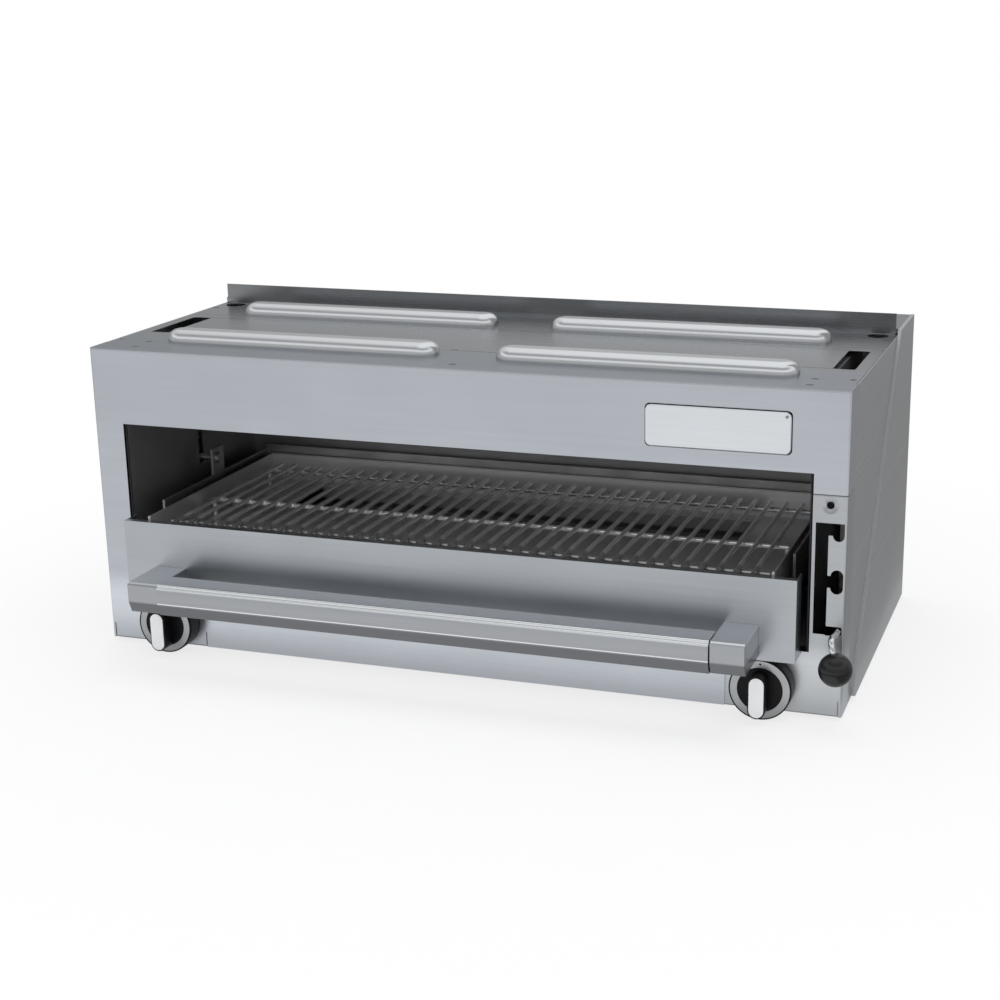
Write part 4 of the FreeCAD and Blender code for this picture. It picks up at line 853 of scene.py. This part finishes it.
def flat_sheet(name, corners, finish):
    data = bpy.data.meshes.new(name)
    data.from_pydata([Vector(c) for c in corners], [], [range(len(corners))])
    data.materials.append(finish)
    obj = bpy.data.objects.new(name, data)
    scene.collection.objects.link(obj)
    return obj


flat_sheet("floor", [(-6, -6, FLOOR_Z), (6, -6, FLOOR_Z), (6, 6, FLOOR_Z), (-6, 6, FLOOR_Z)],
           floor_material())


def grey_steps(tree, value, stops):
    """Brightness that follows a value through set steps."""
    return ramp(tree, value, [(place, (tone, tone, tone)) for place, tone in stops])


def surroundings():
    """White to the camera; for all else a room with steps of grey behind and ahead."""
    world = bpy.data.worlds.new("room")
    scene.world = world
    tree = cleared(world)
    way = put(tree, "TexCoord", out="Generated")
    parts = tree.nodes.new("ShaderNodeSeparateXYZ")
    tree.links.new(way, parts.inputs[0])
    x, y, z = (parts.outputs[name] for name in "XYZ")
    behind = grey_steps(tree, z, [(0.0, 0.50), (0.31, 0.50), (0.48, 0.95), (1.0, 1.0)])
    ahead = grey_steps(tree, z, [(0.0, 0.48), (0.34, 0.48), (0.42, 1.0), (0.60, 1.0),
                                 (0.68, 0.38), (0.86, 0.38), (0.95, 1.0)])
    behind = calc(tree, "MULTIPLY", behind, remap(tree, x, -0.75, -0.15, 0.72, 1.0, True))
    back = remap(tree, y, -0.35, 0.25, 0.0, 1.0, True)
    level = calc(tree, "ADD", calc(tree, "MULTIPLY", behind, back),
                 calc(tree, "MULTIPLY", ahead, calc(tree, "SUBTRACT", 1.0, back)))
    room = put(tree, "Background", {"Color": (0.97, 0.985, 1.0, 1.0), "Strength": level})
    white = put(tree, "Background", {"Color": (1.0, 1.0, 1.0, 1.0), "Strength": 1.0})
    seen = put(tree, "LightPath", out="Is Camera Ray")
    mix = put(tree, "MixShader", {0: seen, 1: room, 2: white})
    output = tree.nodes.new("ShaderNodeOutputWorld")
    tree.links.new(mix, output.inputs[0])


surroundings()


def card(name, corners, tone):
    """Grey card that only mirror-like surfaces see."""
    made = bpy.data.materials.new(name)
    tree = cleared(made)
    glow = put(tree, "Emission", {"Color": (tone, tone, tone, 1.0), "Strength": 1.0})
    output = tree.nodes.new("ShaderNodeOutputMaterial")
    tree.links.new(glow, output.inputs[0])
    obj = flat_sheet(name, corners, made)
    obj.visible_camera = False
    obj.visible_diffuse = False
    obj.visible_shadow = False


card("side_card", [(0.62, 0.0, 0.0), (1.5, 2.6, 0.0), (1.5, 2.6, 1.6), (0.62, 0.0, 1.6)], 0.30)
card("side_floor_card", [(0.46, -0.45, 0.004), (1.6, -0.45, 0.004), (1.6, 2.6, 0.004),
                         (0.46, 2.6, 0.004)], 0.30)


def lamp(name, place, target, size, power):
    data = bpy.data.lights.new(name, "AREA")
    data.shape = "RECTANGLE"
    data.size, data.size_y = size
    data.energy = power
    obj = bpy.data.objects.new(name, data)
    scene.collection.objects.link(obj)
    obj.location = place
    obj.rotation_euler = (Vector(target) - Vector(place)).to_track_quat("-Z", "Y").to_euler()
    obj.visible_glossy = False


lamp("overhead", (0.1, 0.1, 2.0), (0.0, 0.0, 0.2), (2.4, 1.2), 20.0)
lamp("front_fill", (-0.4, -2.6, 0.95), (0.0, 0.0, 0.12), (2.8, 0.6), 16.0)


CAMERA_ANGLES = (17.9498, 16.2797, -0.4866)   # turn, tilt, roll in degrees
CAMERA_PLACE = (0.7059, -1.9297, 0.7248)
CAMERA_LENS = 64.301
CAMERA_SHIFT = (-0.08, 0.015)


def photo_camera():
    """Camera fitted to the photograph, in the frame's metres."""
    turn, tilt, roll = (math.radians(a) for a in CAMERA_ANGLES)
    ahead = Vector((-math.sin(turn) * math.cos(tilt), math.cos(turn) * math.cos(tilt),
                    -math.sin(tilt)))
    level = Vector((math.cos(turn), math.sin(turn), 0.0))
    above = level.cross(ahead)
    right = level * math.cos(roll) + above * math.sin(roll)
    up = above * math.cos(roll) - level * math.sin(roll)
    data = bpy.data.cameras.new("camera")
    data.sensor_width = 36.0
    data.lens = CAMERA_LENS
    data.shift_x, data.shift_y = CAMERA_SHIFT
    obj = bpy.data.objects.new("camera", data)
    scene.collection.objects.link(obj)
    spin = Matrix((right, up, -ahead)).transposed().to_4x4()
    obj.matrix_world = Matrix.Translation(CAMERA_PLACE) @ spin
    scene.camera = obj


photo_camera()
scene.view_settings.view_transform = "Standard"
